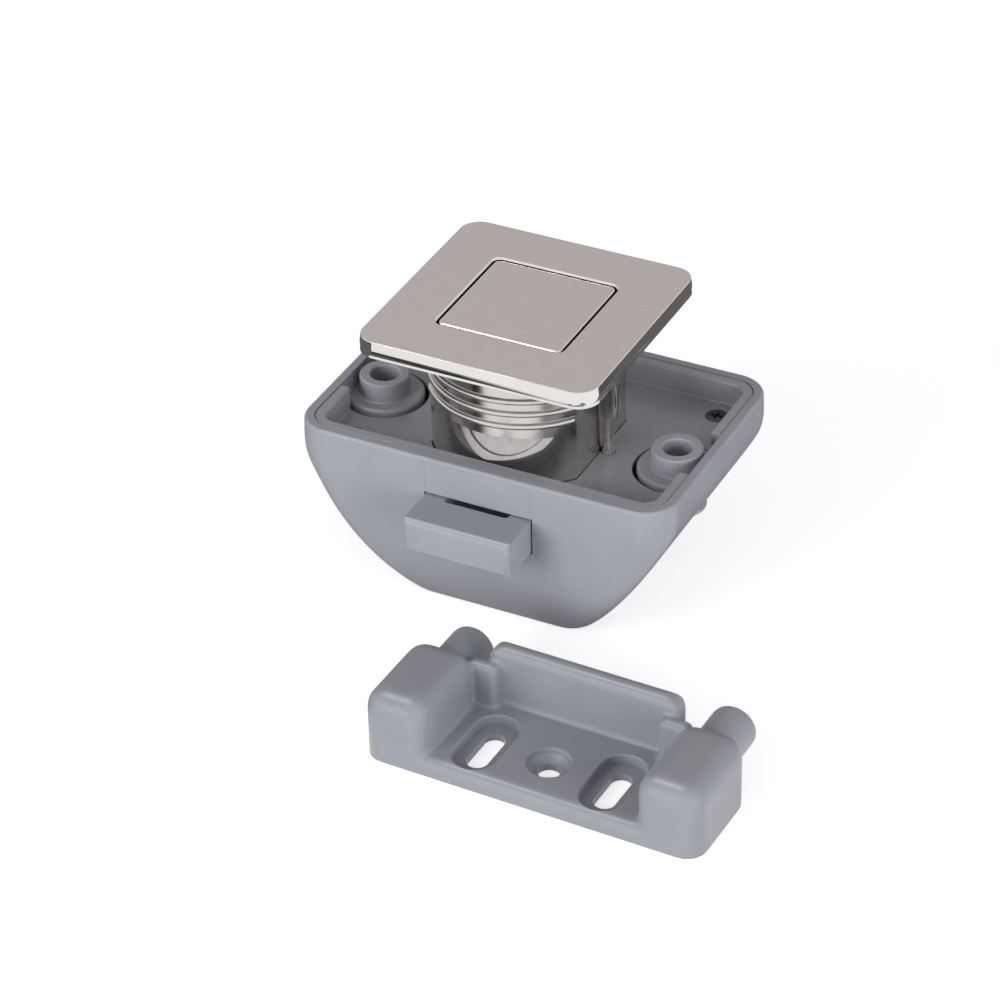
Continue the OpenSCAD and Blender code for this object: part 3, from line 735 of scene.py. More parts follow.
def rounded_levels(half, low, high, corner, edge_low, edge_high, middle=0.0, steps=5, half_y=None):
    """Levels of a plate with round edges at its top and bottom, from the top down."""
    half_y = half if half_y is None else half_y
    levels = [(high - edge_high * (1 - cos(a)), edge_high * (1 - sin(a))) for a in quarter(steps)]
    levels += [(low + edge_low * (1 - sin(a)), edge_low * (1 - cos(a))) for a in quarter(steps)]
    return [(z, half - inset, middle - half_y + inset, middle + half_y - inset, corner - inset)
            for z, inset in levels]


def boss(sizes):
    """One screw boss as a turned form: tube, fillet, flange with a round shoulder, and bore."""
    bore = sizes.boss_bore / 2
    tube = sizes.boss_tube / 2
    flange = sizes.boss_flange / 2
    step = -sizes.boss_step
    bottom = -sizes.height - SURE_CUT
    top = -BOSS_DROP
    outline = [(bore, bottom), (bore, top - BOSS_EDGE), (bore + BOSS_EDGE, top)]
    outline += [(tube - BOSS_EDGE, top), (tube, top - BOSS_EDGE)]
    outline += arc((tube + BOSS_FILLET, step + BOSS_FILLET), BOSS_FILLET, pi, 1.5 * pi, 5)
    outline += arc((flange - BOSS_SHOULDER, step - BOSS_SHOULDER), BOSS_SHOULDER, pi / 2, 0, 6)
    outline += [(flange, bottom), outline[0]]
    return lathe(outline, at=(sizes.boss_pitch / 2, 0), sides=BOSS_SIDES)


def posts_and_rails(sizes, bolt, tray_under, flange_under):
    """Posts under the screws of the tray and the flange, and the two rails beside the bolt."""
    front = sizes.back - sizes.depth / 2
    parts = []
    for x in SIGNS:
        for y in SIGNS:
            screw = (x * TRAY_SCREW_AT[0], sizes.back + y * TRAY_SCREW_AT[1])
            parts.append(rod(TRAY_POST_R, -sizes.height, tray_under, at=screw, sides=POST_SIDES))
            screw = (x * FLANGE_SCREW_AT[0], y * FLANGE_SCREW_AT[1])
            parts.append(rod(FLANGE_POST_R, -sizes.height, flange_under, at=screw, sides=POST_SIDES))
        rail = bolt.aside + x * (bolt.width / 2 + RAIL_AWAY)
        parts.append(block((rail - RAIL_HALF, front, -sizes.height),
                           (rail + RAIL_HALF, front + sizes.depth, flange_under)))
    return weld(*parts)


def case_piece(context):
    """Housing with rim, bosses, posts, bolt window and head recesses."""
    sizes = context.scene.lock_housing
    tray = context.scene.lock_tray
    bolt = context.scene.lock_bolt
    tray_under = -tray.deep - tray.floor
    flange_under = tray_under - FLANGE_THICK
    bolt_low = flange_under - BOLT_BELOW - bolt.height
    front = sizes.back - sizes.depth / 2
    left = bolt.aside - bolt.width / 2
    right = bolt.aside + bolt.width / 2
    body = loft(boat_levels(sizes, 0, 0, -RIM_DROP, OUTSIDE_LEVELS, sizes.rim_edge), steps=12)
    cut(body, loft(boat_levels(sizes, sizes.wall, sizes.floor, ABOVE_RIM, INSIDE_LEVELS), steps=8))
    cut(body, plate(sizes.width - 2 * sizes.wall, sizes.depth - 2 * sizes.wall, tray_under - tray.seam,
                    2 * ABOVE_RIM, sizes.corner - sizes.wall, at=(0, sizes.back), steps=12))
    shape = loft(boat_levels(sizes, sizes.wall - tray.seam, INNER_FLOOR, ABOVE_RIM, INSIDE_LEVELS), steps=8)
    posts = common(posts_and_rails(sizes, bolt, tray_under, flange_under), copy_of(shape))
    bosses = common(mirrored_pair(boss(sizes)), shape)
    pad = block((left, front - PAD_PROUD, flange_under), (right, front + PAD_DEEP, -sizes.rim_edge))
    weld(body, posts, bosses, soften(pad, PAD_EDGE, 2))
    recess = sizes.head_recess / 2
    for x in SIGNS:
        place = (x * sizes.boss_pitch / 2, 0)
        weld(body, rod(recess + RING_WIDE, RING_LOW, RING_HIGH, at=place, sides=BOSS_SIDES))
        cut(body, rod(recess, -sizes.height - SURE_CUT, HEAD_RECESS_TOP, at=place, sides=BOSS_SIDES))
    window = block((left - WINDOW_GAP, front - SURE_CUT, bolt_low),
                   (right + WINDOW_GAP, front + sizes.wall + WINDOW_BEYOND, flange_under))
    return cut(body, window)


class LOCK_OT_case(bpy.types.Operator):
    """Builds the housing"""

    bl_idname = "lock.case"
    bl_label = "Housing"

    def execute(self, context):
        piece = smooth(clean(case_piece(context)))
        dress(piece, finish(context, "grey_plastic"))
        finished(piece, "case_shell", "housing", "grey_plastic", "case")
        return {"FINISHED"}


# Tray

TRAY_EDGE = 0.25 * MM
TRAY_EDGE_LOW = 0.1 * MM
TRAY_FILLET = 0.35 * MM
SINK_R = 1 * MM
SINK_R_TOP = 2.3 * MM
SINK_DEEP = 1.1 * MM
SINK_ABOVE = 0.2 * MM
SCREW_HOLE_R = 1.15 * MM
PIN_HOLE_R = 1.35 * MM


class LOCK_OT_tray(bpy.types.Operator):
    """Builds the tray in the housing's mouth"""

    bl_idname = "lock.tray"
    bl_label = "Tray"

    def execute(self, context):
        sizes = context.scene.lock_tray
        housing = context.scene.lock_housing
        barrel = context.scene.lock_barrel
        half = housing.width / 2 - housing.wall - sizes.seam
        half_y = housing.depth / 2 - housing.wall - sizes.seam
        corner = housing.corner - housing.wall - sizes.seam
        low = -sizes.deep - sizes.floor
        piece = loft(rounded_levels(half, low, -sizes.seam, corner, TRAY_EDGE_LOW, TRAY_EDGE,
                                    middle=housing.back, steps=3, half_y=half_y))
        cut(piece, loft(self.well(sizes, half, half_y, corner, housing.back)))
        for x in SIGNS:
            place = (x * housing.boss_pitch / 2, 0)
            radius = housing.boss_flange / 2 + sizes.ring
            cut(piece, rod(radius, low - SURE_CUT, -sizes.deep + SURE_CUT, at=place, sides=96))
            cut(piece, block((place[0] - radius, -sizes.gap / 2, -sizes.deep),
                             (place[0] + radius, sizes.gap / 2, SURE_CUT)))
            cut(piece, rod(PIN_HOLE_R, low - SURE_CUT, SURE_CUT, at=(x * PIN_AT, 0), sides=POST_SIDES))
            for y in SIGNS:
                screw = (x * TRAY_SCREW_AT[0], housing.back + y * TRAY_SCREW_AT[1])
                cut(piece, taper(SINK_R, SINK_R_TOP, -sizes.deep - SINK_DEEP, -sizes.deep + SINK_ABOVE,
                                 at=screw, sides=POST_SIDES))
                cut(piece, rod(SCREW_HOLE_R, low - SURE_CUT, -sizes.deep, at=screw, sides=POST_SIDES))
        cut(piece, barrel_core(barrel, low - SURE_CUT, SURE_CUT))
        smooth(clean(piece))
        dress(piece, finish(context, "tray_plastic"))
        finished(piece, "tray_basin", "housing", "tray_plastic", "tray")
        return {"FINISHED"}

    def well(self, sizes, half, half_y, corner, middle):
        """Levels of the tray's hollow: flared at the rim, with a fillet at its floor."""
        levels = [(ABOVE_RIM, TRAY_EDGE)]
        levels += [(-sizes.seam - TRAY_EDGE * sin(a), TRAY_EDGE * (1 - sin(a) ** 2)) for a in quarter(3)]
        for a in quarter(3):
            levels.append((-sizes.deep + TRAY_FILLET * (1 - sin(a)), -TRAY_FILLET * (1 - cos(a))))
        return [(z, half - sizes.wall + flare, middle - half_y + sizes.wall - flare,
                 middle + half_y - sizes.wall + flare, corner - sizes.wall + flare) for z, flare in levels]


# Barrel

CORE_UNDER = 0.1 * MM
RIDGE_ROOT = 0.6 * MM
THREAD_TURNS = 3
SCOOP_AT = (2.2 * MM, 6.5 * MM, 10.6 * MM)
SCOOP_FLARE = 0.7 * MM
SCOOP_LONG = 8 * MM
SCOOP_LOW = -4 * MM
SCOOP_BACK = -9 * MM
SCOOP_HALF = 15 * MM
SCOOP_BEFORE = 3 * MM
CORE_MIDDLE = (1 * MM, 8 * MM)
CORE_TOP = 5.3 * MM
CORE_SIDES = 240
BORDER_DISH = (10.5 * MM, 5 * MM, 1.65 * MM, -2.6 * MM)
FLOOR_DISH = (9.2 * MM, 5.05 * MM, 1.3 * MM, -3.2 * MM)
SATIN_LOW = -1 * MM
SATIN_HIGH = 5.2 * MM
SATIN_UNDER = 0.15 * MM
FLANGE_CORNER = 3 * MM
BUTTON_WELL_FLOOR = -2.5 * MM
PLUNGER_HOLE_HALF = (4.6 * MM, 7.6 * MM)


def barrel_core(barrel, low, high):
    """Cutter with the barrel's outline and a small gap, between two heights."""
    core = rod(barrel.diameter / 2 + BARREL_GAP, low, high, sides=BARREL_SIDES)
    flat = barrel.flats / 2 + BARREL_GAP
    return common(core, block((-flat, -barrel.diameter, low - SURE_CUT),
                              (flat, barrel.diameter, high + SURE_CUT)))


def thread(sizes):
    """Ridge of the thread: a round profile wound up along a screw line."""
    radius = sizes.diameter / 2 - CORE_UNDER
    start = sizes.ridge_front - 0.75 * sizes.pitch
    half = sizes.ridge_width / 2
    outline = [(radius - RIDGE_ROOT, start - half)]
    for i in range(9):
        turn = -pi / 2 + pi * i / 8
        outline.append((radius + sizes.ridge_rise * cos(turn), start + half * sin(turn)))
    outline += [(radius - RIDGE_ROOT, start + half), outline[0]]
    ridge = tidy_mesh(trace([(x, 0, z) for x, z in outline]))
    modified(ridge, "SCREW", angle=2 * pi, screw_offset=sizes.pitch, iterations=THREAD_TURNS,
             steps=ROUND_SIDES, render_steps=ROUND_SIDES)
    edit_all(ridge, "EDGE")
    bpy.ops.mesh.fill_holes(sides=0)
    return tidy_mesh(ridge)


def dish(sizes, half, top, core):
    """Cutter for a round dish in the barrel's front below the thread, hollow where the core is."""
    radius = sizes.diameter / 2
    round_part = taper(half, half + SCOOP_FLARE, 0, SCOOP_LONG, sides=96)
    moved(round_part, SCOOP_AT[0], -radius + SCOOP_AT[1], SCOOP_AT[2], FORWARD)
    common(round_part, block((-SCOOP_HALF, -radius - SCOOP_BEFORE, SCOOP_LOW),
                             (SCOOP_HALF, SCOOP_BACK, top)))
    return cut(round_part, core)


def cut_scoop(piece, sizes):
    """Cuts the scoop in the barrel's front: a border round a lower floor, both slanting inwards."""
    reach = sizes.diameter / 2 + CORE_MIDDLE[1]
    for half, top, core_low, core_high in (BORDER_DISH, FLOOR_DISH):
        core = taper(reach + core_low, reach + core_high, SCOOP_LOW, CORE_TOP,
                     at=CORE_MIDDLE, sides=CORE_SIDES)
        cut(piece, dish(sizes, half, top, core))
    return piece


class LOCK_OT_barrel(bpy.types.Operator):
    """Builds the threaded barrel with its flats, scoop and base flange"""

    bl_idname = "lock.barrel"
    bl_label = "Barrel"

    def execute(self, context):
        sizes = context.scene.lock_barrel
        rosette = context.scene.lock_rosette
        radius = sizes.diameter / 2
        low = BARREL_LOW
        high = rosette.door
        piece = rod(radius - CORE_UNDER, low, high, sides=ROUND_SIDES)
        weld(piece, thread(sizes))
        flat = sizes.flats / 2
        common(piece, block((-flat, -2 * radius, low - SURE_CUT), (flat, 2 * radius, high + SURE_CUT)))
        cut_scoop(clean(piece), sizes)
        weld(piece, plate(sizes.flange, sizes.flange, low, low + FLANGE_THICK, FLANGE_CORNER))
        hole = rosette.button + 2 * rosette.gap
        cut(piece, plate(hole, hole, BUTTON_WELL_FLOOR, high + SURE_CUT, BUTTON_HOLE_CORNER))
        x, y = PLUNGER_HOLE_HALF
        cut(piece, block((-x, -y, low - SURE_CUT), (x, y, 0)))
        smooth(clean(piece), 24)
        dress(piece, finish(context, "cast_nickel"), finish(context, "satin_nickel"))
        dress_faces(piece, 1, lambda face: face.center.y < SCOOP_BACK and face.normal.y < 0
                    and SATIN_LOW < face.center.z < SATIN_HIGH
                    and face.center.xy.length < radius - SATIN_UNDER)
        finished(piece, "barrel_threaded", "housing", "nickel", "barrel")
        return {"FINISHED"}


# Alignment pins

PIN_R = 0.75 * MM
PIN_TIP_R = 0.6 * MM
PIN_SHOULDER = 8.8 * MM
PIN_TOP = 9 * MM
PIN_FOOT_R = 1.25 * MM
PIN_FOOT_TOP = -4.5 * MM
PIN_FLARE = 0.4 * MM
PIN_FLARE_RISE = 3 * MM


class LOCK_OT_pins(bpy.types.Operator):
    """Builds the two alignment pins with flared feet"""

    bl_idname = "lock.pins"
    bl_label = "Alignment pins"

    def execute(self, context):
        outline = [(0, BARREL_LOW), (PIN_FOOT_R, BARREL_LOW), (PIN_FOOT_R, PIN_FOOT_TOP)]
        for i in range(1, 7):
            share = i / 6
            waist = PIN_FLARE * (1 - (1 - share) ** 2.5)
            outline.append((PIN_FOOT_R - waist, PIN_FOOT_TOP + share * PIN_FLARE_RISE))
        outline += [(PIN_R, PIN_SHOULDER), (PIN_TIP_R, PIN_TOP), (0, PIN_TOP)]
        piece = mirrored_pair(lathe(outline, at=(PIN_AT, 0), sides=40))
        smooth(piece, 40)
        dress(piece, finish(context, "nickel"))
        finished(piece, "alignment_pins_flared", "housing", "nickel", "alignment_pins")
        return {"FINISHED"}


# Rosette and button

SIDE_LEAN = 0.18 * MM
CURL_RISE = 0.5 * MM
CURL_TURN = radians(14)
LIP_EDGE = 0.1 * MM
HOLE_EDGE = 0.3 * MM
POST_BORE_R = 1.05 * MM
POST_BORE_EDGE = 0.2 * MM
POST_BORE_TOP = 9 * MM
POST_EDGE = 0.4 * MM
POST_ROOT = 1 * MM
BUTTON_CORNER = 1.1 * MM
BUTTON_EDGE_LOW = 0.1 * MM
BUTTON_WALL = 1.8 * MM
BUTTON_TOP = 2.2 * MM
EAR_AT = 5.6 * MM
EAR_HALF = (1 * MM, 5 * MM)
EAR_LOW = 5.6 * MM
EAR_ROOT = 1.1 * MM
PIVOT_R = 1.05 * MM
PIVOT_HALF = 9 * MM
PIVOT_DROP = 1.7 * MM


def square_hole_levels(half, low, high, corner, edge):
    """Levels of a square hole's cutter, flared round at its top."""
    levels = [(high + SURE_CUT, edge)]
    levels += [(high - edge * sin(a), edge * (1 - sin(a))) for a in quarter(5)]
    levels.append((low - SURE_CUT, 0))
    return [(z, half + flare, -half - flare, half + flare, corner + flare) for z, flare in levels]


class LOCK_OT_rosette(bpy.types.Operator):
    """Builds the square rosette with its two posts"""

    bl_idname = "lock.rosette"
    bl_label = "Rosette"

    def execute(self, context):
        sizes = context.scene.lock_rosette
        barrel = context.scene.lock_barrel
        low = sizes.door
        high = low + sizes.thick
        piece = loft(self.side_levels(sizes, low, high), steps=14)
        hole = sizes.button / 2 + sizes.gap
        cut(piece, loft(square_hole_levels(hole, low, high, BUTTON_HOLE_CORNER, HOLE_EDGE)))
        weld(piece, self.posts(sizes, barrel, low))
        smooth(clean(piece), 20)
        brush_top(context, piece, high)
        finished(piece, "rosette_plate", "housing", "nickel", "rosette")
        return {"FINISHED"}

    def side_levels(self, sizes, low, high):
        """Levels of the plate: crisp top edge, side that leans out and curls in, and a bright lip."""
        waist = high - 0.5 * sizes.thick
        curl = (waist - low - CURL_RISE) / sin(CURL_TURN)
        levels = [(high, SIDE_LEAN + sizes.edge), (high - 0.5 * sizes.edge, SIDE_LEAN + 0.3 * sizes.edge)]
        levels += [(high - sizes.edge, SIDE_LEAN), (waist, 0)]
        for i in range(1, 7):
            turn = CURL_TURN * i / 6
            levels.append((waist - curl * sin(turn), curl * (1 - cos(turn))))
        levels += [(low + LIP_EDGE, 0), (low, LIP_EDGE)]
        half = sizes.side / 2
        return [(z, half - inset, inset - half, half - inset, sizes.corner - inset) for z, inset in levels]

    def posts(self, sizes, barrel, top):
        """Two posts with soft lower ends, cut to the barrel's outline."""
        radius = sizes.post / 2
        low = sizes.post_bottom
        bore = POST_BORE_R
        outline = [(bore, POST_BORE_TOP), (bore, low + POST_BORE_EDGE), (bore + POST_BORE_EDGE, low)]
        outline += arc((radius - POST_EDGE, low + POST_EDGE), POST_EDGE, -pi / 2, 0, 4)
        outline += [(radius, top + POST_ROOT), (0, top + POST_ROOT), (0, POST_BORE_TOP), outline[0]]
        pair = mirrored_pair(lathe(outline, at=(PIN_AT, 0), sides=48))
        return cut(pair, barrel_core(barrel, 0, top))


class LOCK_OT_button(bpy.types.Operator):
    """Builds the square push button"""

    bl_idname = "lock.button"
    bl_label = "Button"

    def execute(self, context):
        sizes = context.scene.lock_rosette
        high = sizes.door + sizes.thick - sizes.sink
        low = high - sizes.button_height
        half = sizes.button / 2
        inside = 2 * (half - BUTTON_WALL)
        levels = rounded_levels(half, low, high, BUTTON_CORNER, BUTTON_EDGE_LOW, sizes.button_edge)
        piece = loft(levels, steps=8)
        cut(piece, plate(inside, inside, low - SURE_CUT, high - BUTTON_TOP, BUTTON_CORNER))
        for x in SIGNS:
            middle = x * EAR_AT
            weld(piece, block((middle - EAR_HALF[0], -EAR_HALF[1], high - EAR_LOW),
                              (middle + EAR_HALF[0], EAR_HALF[1], high - EAR_ROOT)))
        pivot = rod(PIVOT_R, -PIVOT_HALF, PIVOT_HALF, sides=32)
        cut(piece, moved(pivot, z=high - BUTTON_TOP - PIVOT_DROP, turn=SIDEWAYS))
        smooth(clean(piece), 50)
        brush_top(context, piece, high)
        finished(piece, "button_cap", "button", "brushed_nickel", "button")
        return {"FINISHED"}


# Bolt

GROOVE_OUT = 1.1 * MM
GROOVE_BACK = -16 * MM
GROOVE_DEEP = 3 * MM
GROOVE_CORNER = 0.8 * MM
BOLT_WINDOW_HALF = 4.8 * MM
BOLT_WINDOW_Y = (-16.5 * MM, 8.7 * MM)
DRIVE_PIN_R = 1.55 * MM
DRIVE_PIN_HALF = 12 * MM
BOLT_EDGE = 0.18 * MM
CORNER_SHAVE = 0.01 * MM


class LOCK_OT_bolt(bpy.types.Operator):
    """Builds the sliding bolt with its soft front edges"""

    bl_idname = "lock.bolt"
    bl_label = "Bolt"

    def execute(self, context):
        sizes = context.scene.lock_bolt
        low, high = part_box("bolt")
        piece = self.tongue(sizes, low, high)
        housing = context.scene.lock_housing
        front = housing.back - housing.depth / 2 - GROOVE_OUT
        back = GROOVE_BACK
        groove = plate(sizes.groove, back - front, high.z - GROOVE_DEEP, high.z + SURE_CUT, GROOVE_CORNER,
                       at=(sizes.aside, (front + back) / 2))
        window = block((-BOLT_WINDOW_HALF, BOLT_WINDOW_Y[0], low.z - SURE_CUT),
                       (BOLT_WINDOW_HALF, BOLT_WINDOW_Y[1], high.z + SURE_CUT))
        pin = rod(DRIVE_PIN_R, -DRIVE_PIN_HALF, DRIVE_PIN_HALF, sides=40)
        moved(pin, 0, -sizes.throw / 2, (low.z + high.z) / 2, SIDEWAYS)
        cut(piece, groove, window, pin)
        soften(clean(piece), BOLT_EDGE, 2, 60)
        smooth(piece, 40)
        dress(piece, finish(context, "grey_plastic"))
        finished(piece, "bolt_tongue", "bolt", "grey_plastic", "bolt")
        return {"FINISHED"}

    def tongue(self, sizes, low, high):
        """Solid bolt with a round front, cut to an outline with round front corners."""
        outline = [(high.y, low.z), (high.y, high.z)]
        outline += arc((low.y + sizes.soft, high.z - sizes.soft), sizes.soft, pi / 2, pi, 8)
        outline += arc((low.y + sizes.soft_low, low.z + sizes.soft_low), sizes.soft_low, pi, 1.5 * pi, 6)
        body = prism(outline, low.x - SURE_CUT, high.x + SURE_CUT)
        depth = high.y - low.y + 10 * MM
        outside = plate(high.x - low.x, depth, low.z - SURE_CUT, high.z + SURE_CUT, sizes.soft_end,
                        at=((low.x + high.x) / 2, low.y - CORNER_SHAVE + depth / 2))
        return common(body, outside)


# Strike

BELOW = -8 * MM
HOLE_TOP = 20 * MM
GROUND_CUT = -20 * MM
FLOOR_EDGE = 1.8 * MM
FLOOR_BEHIND = 1.6 * MM
WALL_SHORT = 1.2 * MM
WALL_EDGE = 1.6 * MM
WALL_CORNER = 3.4 * MM
SHOULDER_X = (-4.3 * MM, 1.6 * MM)
SHOULDER_Y = (18 * MM, 20.8 * MM)
SHOULDER_TOP = 11.5 * MM
SHOULDER_EDGE = 1.2 * MM
PEG_AT = 5.4 * MM
PEG_OUT = 8.5 * MM
PEG_ROOT = 2.6 * MM
PEG_EDGE = 0.8 * MM
PEG_HEIGHT = 7 * MM
SKIN_GRAIN = 0.34 * MM
SKIN_ROUNDS = 9
SLOT_RUN = 10 * MM
SLOT_TOP = 2 * MM
RECESS_HALF = 4 * MM
RECESS_HALF_RUN = 7.8 * MM
RECESS_FLOOR = 1.4 * MM
RECESS_RIM = 0.25 * MM
RIM_OVER = 0.05 * MM
RIM_UNDER = 0.08 * MM
RIM_MIDDLE = 0.1 * MM
COUNTERSINK_DEEP = 2 * MM

# Radii of the countersink and their heights over the floor's top, in millimetres

COUNTERSINK = ((3.2, -1), (3.8, -0.9), (3.95, -0.15), (4.2, 0.05))


def soft_block(low, high, radius, steps=6):
    """Block with round edges all over."""
    thing = block(low, high)
    edit_all(thing)
    bpy.ops.mesh.bevel(offset_type="OFFSET", offset=radius, segments=steps, affect="EDGES", profile=0.5)
    return tidy_mesh(thing)


def merged(thing, grain, rounds):
    """Runs overlapping solids together into one skin of even grain and softens its inner corners."""
    modified(thing, "REMESH", mode="VOXEL", voxel_size=grain)
    return modified(thing, "SMOOTH", factor=0.5, iterations=rounds)


class LOCK_OT_strike(bpy.types.Operator):
    """Builds the strike with its blocks, wall, slots and pegs"""

    bl_idname = "lock.strike"
    bl_label = "Strike"

    def execute(self, context):
        sizes = context.scene.lock_strike
        piece = self.body(sizes)
        self.cut_holes(piece, sizes)
        smooth(clean(piece), 40)
        moved(piece, sizes.x, sizes.y, GROUND, (0, 0, sizes.turn))
        dress(piece, finish(context, "strike_plastic"))
        finished(piece, "strike_body", "housing", "grey_plastic", "strike")
        return {"FINISHED"}

    def body(self, sizes):
        """Blocks, wall, shoulders and pegs on one floor, run together with soft inner corners."""
        half = sizes.length / 2
        inner = half - sizes.block
        soft = sizes.soft
        floor_half = inner + 2 * soft
        parts = [
            soft_block((-floor_half, 0, BELOW), (floor_half, sizes.block_depth - soft, sizes.floor),
                       FLOOR_EDGE),
            block((-inner, soft, BELOW), (inner, sizes.depth - FLOOR_BEHIND, sizes.floor)),
            self.wall(sizes, inner - WALL_SHORT),
        ]
        for low in (-half, inner):
            high = low + sizes.block
            parts.append(soft_block((low, 0, BELOW), (high, sizes.block_depth, sizes.height), soft))
        for x in SIGNS:
            ends = sorted(x * (inner + end) for end in SHOULDER_X)
            parts.append(soft_block((ends[0], SHOULDER_Y[0], BELOW), (ends[1], SHOULDER_Y[1], SHOULDER_TOP),
                                    SHOULDER_EDGE))
            parts.append(self.peg(sizes, x * (inner + PEG_AT)))
        piece = merged(joined(parts), SKIN_GRAIN, SKIN_ROUNDS)
        return cut(piece, block((-2 * half, -SURE_CUT, GROUND_CUT), (2 * half, 2 * sizes.depth, 0)))

    def wall(self, sizes, half):
        """Back wall with soft edges and larger rounded upper corners."""
        top = sizes.height + sizes.wall_rise
        wall = soft_block((-half, sizes.depth - sizes.wall, BELOW), (half, sizes.depth, top), WALL_EDGE)
        outline = plate(2 * half, 2 * top, -sizes.depth - SURE_CUT, SURE_CUT, WALL_CORNER)
        return common(wall, moved(outline, turn=FORWARD))

    def peg(self, sizes, x):
        """Peg out of a block's back, with a round end."""
        radius = sizes.peg / 2
        tip = PEG_OUT + PEG_ROOT
        outline = [(0, 0), (radius, 0)] + arc((radius - PEG_EDGE, tip - PEG_EDGE), PEG_EDGE, 0, pi / 2, 5)
        peg = lathe(outline + [(0, tip)], sides=64)
        return moved(peg, x, sizes.block_depth - PEG_ROOT, PEG_HEIGHT, (radians(-90), 0, 0))

    def cut_holes(self, piece, sizes):
        """Two slots with recesses and one countersunk screw hole."""
        cutters = []
        for x in SIGNS:
            place = (sizes.slot_aside + x * sizes.slot_pitch / 2, sizes.slot_line)
            slot = plate(sizes.slot, SLOT_RUN, -SURE_CUT, SLOT_TOP, sizes.slot / 2 - MERGE,
                         at=place, steps=16)
            cutters.append(weld(self.recess(sizes, place), slot))
        bore = sizes.bore / 2
        outline = [(0, -SURE_CUT), (bore, -SURE_CUT), (bore, sizes.floor - COUNTERSINK_DEEP)]
        outline += [(radius * MM, sizes.floor + rise * MM) for radius, rise in COUNTERSINK]
        outline += [(outline[-1][0], HOLE_TOP), (0, HOLE_TOP)]
        cutters.append(lathe(outline, at=(sizes.slot_aside, sizes.slot_line), sides=64))
        return cut(piece, joined(cutters))

    def recess(self, sizes, place):
        """Cutter for the recess round a slot, with a soft rim."""
        heights = [(HOLE_TOP, RECESS_RIM), (sizes.floor + RIM_OVER, RECESS_RIM),
                   (sizes.floor - RIM_UNDER, RIM_MIDDLE), (sizes.floor - RECESS_RIM, 0), (RECESS_FLOOR, 0)]
        levels = [(z, RECESS_HALF + flare, place[1] - RECESS_HALF_RUN - flare,
                   place[1] + RECESS_HALF_RUN + flare, RECESS_HALF + flare - MERGE) for z, flare in heights]
        return moved(loft(levels, steps=12), place[0])


# Solids that keep their own mesh

class LOCK_OT_inner(bpy.types.Operator):
    """Gives the screws, the catch and the other solids their materials"""

    bl_idname = "lock.inner"
    bl_label = "Screws and catch"

    def execute(self, context):
        slots = {
            "tray_screws": "dark_steel", "barrel_screws": "steel", "bracket_screws": "steel",
            "plunger": "dark_plastic", "button_pin": "steel", "heart_cam": "pale_plastic",
            "latch_follower": "steel", "follower_bracket": "steel", "follower_spring": "steel",
            "drive_pin": "steel", "button_spring": "steel", "spring_seat": "steel",
        }
        for node, key in slots.items():
            dress(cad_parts[node], finish(context, key))
        return {"FINISHED"}


# Stage

CAMERA_FOCUS = 3910.924
FRAME_PIXELS = 1000
SENSOR_MM = 36
CAMERA_TURN = radians(26.967)
CAMERA_RISE = radians(34.323)
CAMERA_ROLL = radians(-1.152)
CAMERA_DEPTH = 0.686755
ORIGIN_PIXEL = (528.910, 408.685)
FLOOR_SHADE = (0.8, 0.8, 0.8)
FLOOR_GLOW = 0.6
# Painted reflection on the floor for glossy rays: its direction, its reach, and its painted grey and dark
# shades
MIRROR_TOWARD = (0.9, -0.8, 0)
MIRROR_REACH = 0.1
PAINTED_REFLECTION_NEAR = (0.13, 0.13, 0.13)
PAINTED_REFLECTION_DARK = (0.03, 0.03, 0.03)
WHITE = (1, 1, 1)
SKY_BEHIND = (-0.37, 0.74, 0.56)
SKY_FRONT_SHADE = (0.93, 0.95, 1)
SKY_BACK_SHADE = (0.60, 0.60, 0.60)
SKY_STRENGTH = 0.5
AIM = Vector((0, 0, -0.01))


def toward(nodes, link, source, direction):
    """How far a place or a view lies in a direction."""
    product = new_node(nodes, "VectorMath", {1: direction}, operation="DOT_PRODUCT")
    link(source, product.inputs[0])
    return product.outputs["Value"]


def shades(nodes, link, source, first, last, *between):
    """Colours along a value, from stops of a place and a colour."""
    ramp = new_node(nodes, "ValToRGB")
    stops = ramp.color_ramp.elements
    for stop, (place, colour) in zip(list(stops), (first, last)):
        stop.position = place
        stop.color = (*colour, 1)
    for place, colour in between:
        stops.new(place).color = (*colour, 1)
    link(source, ramp.inputs["Fac"])
    return ramp.outputs["Color"]


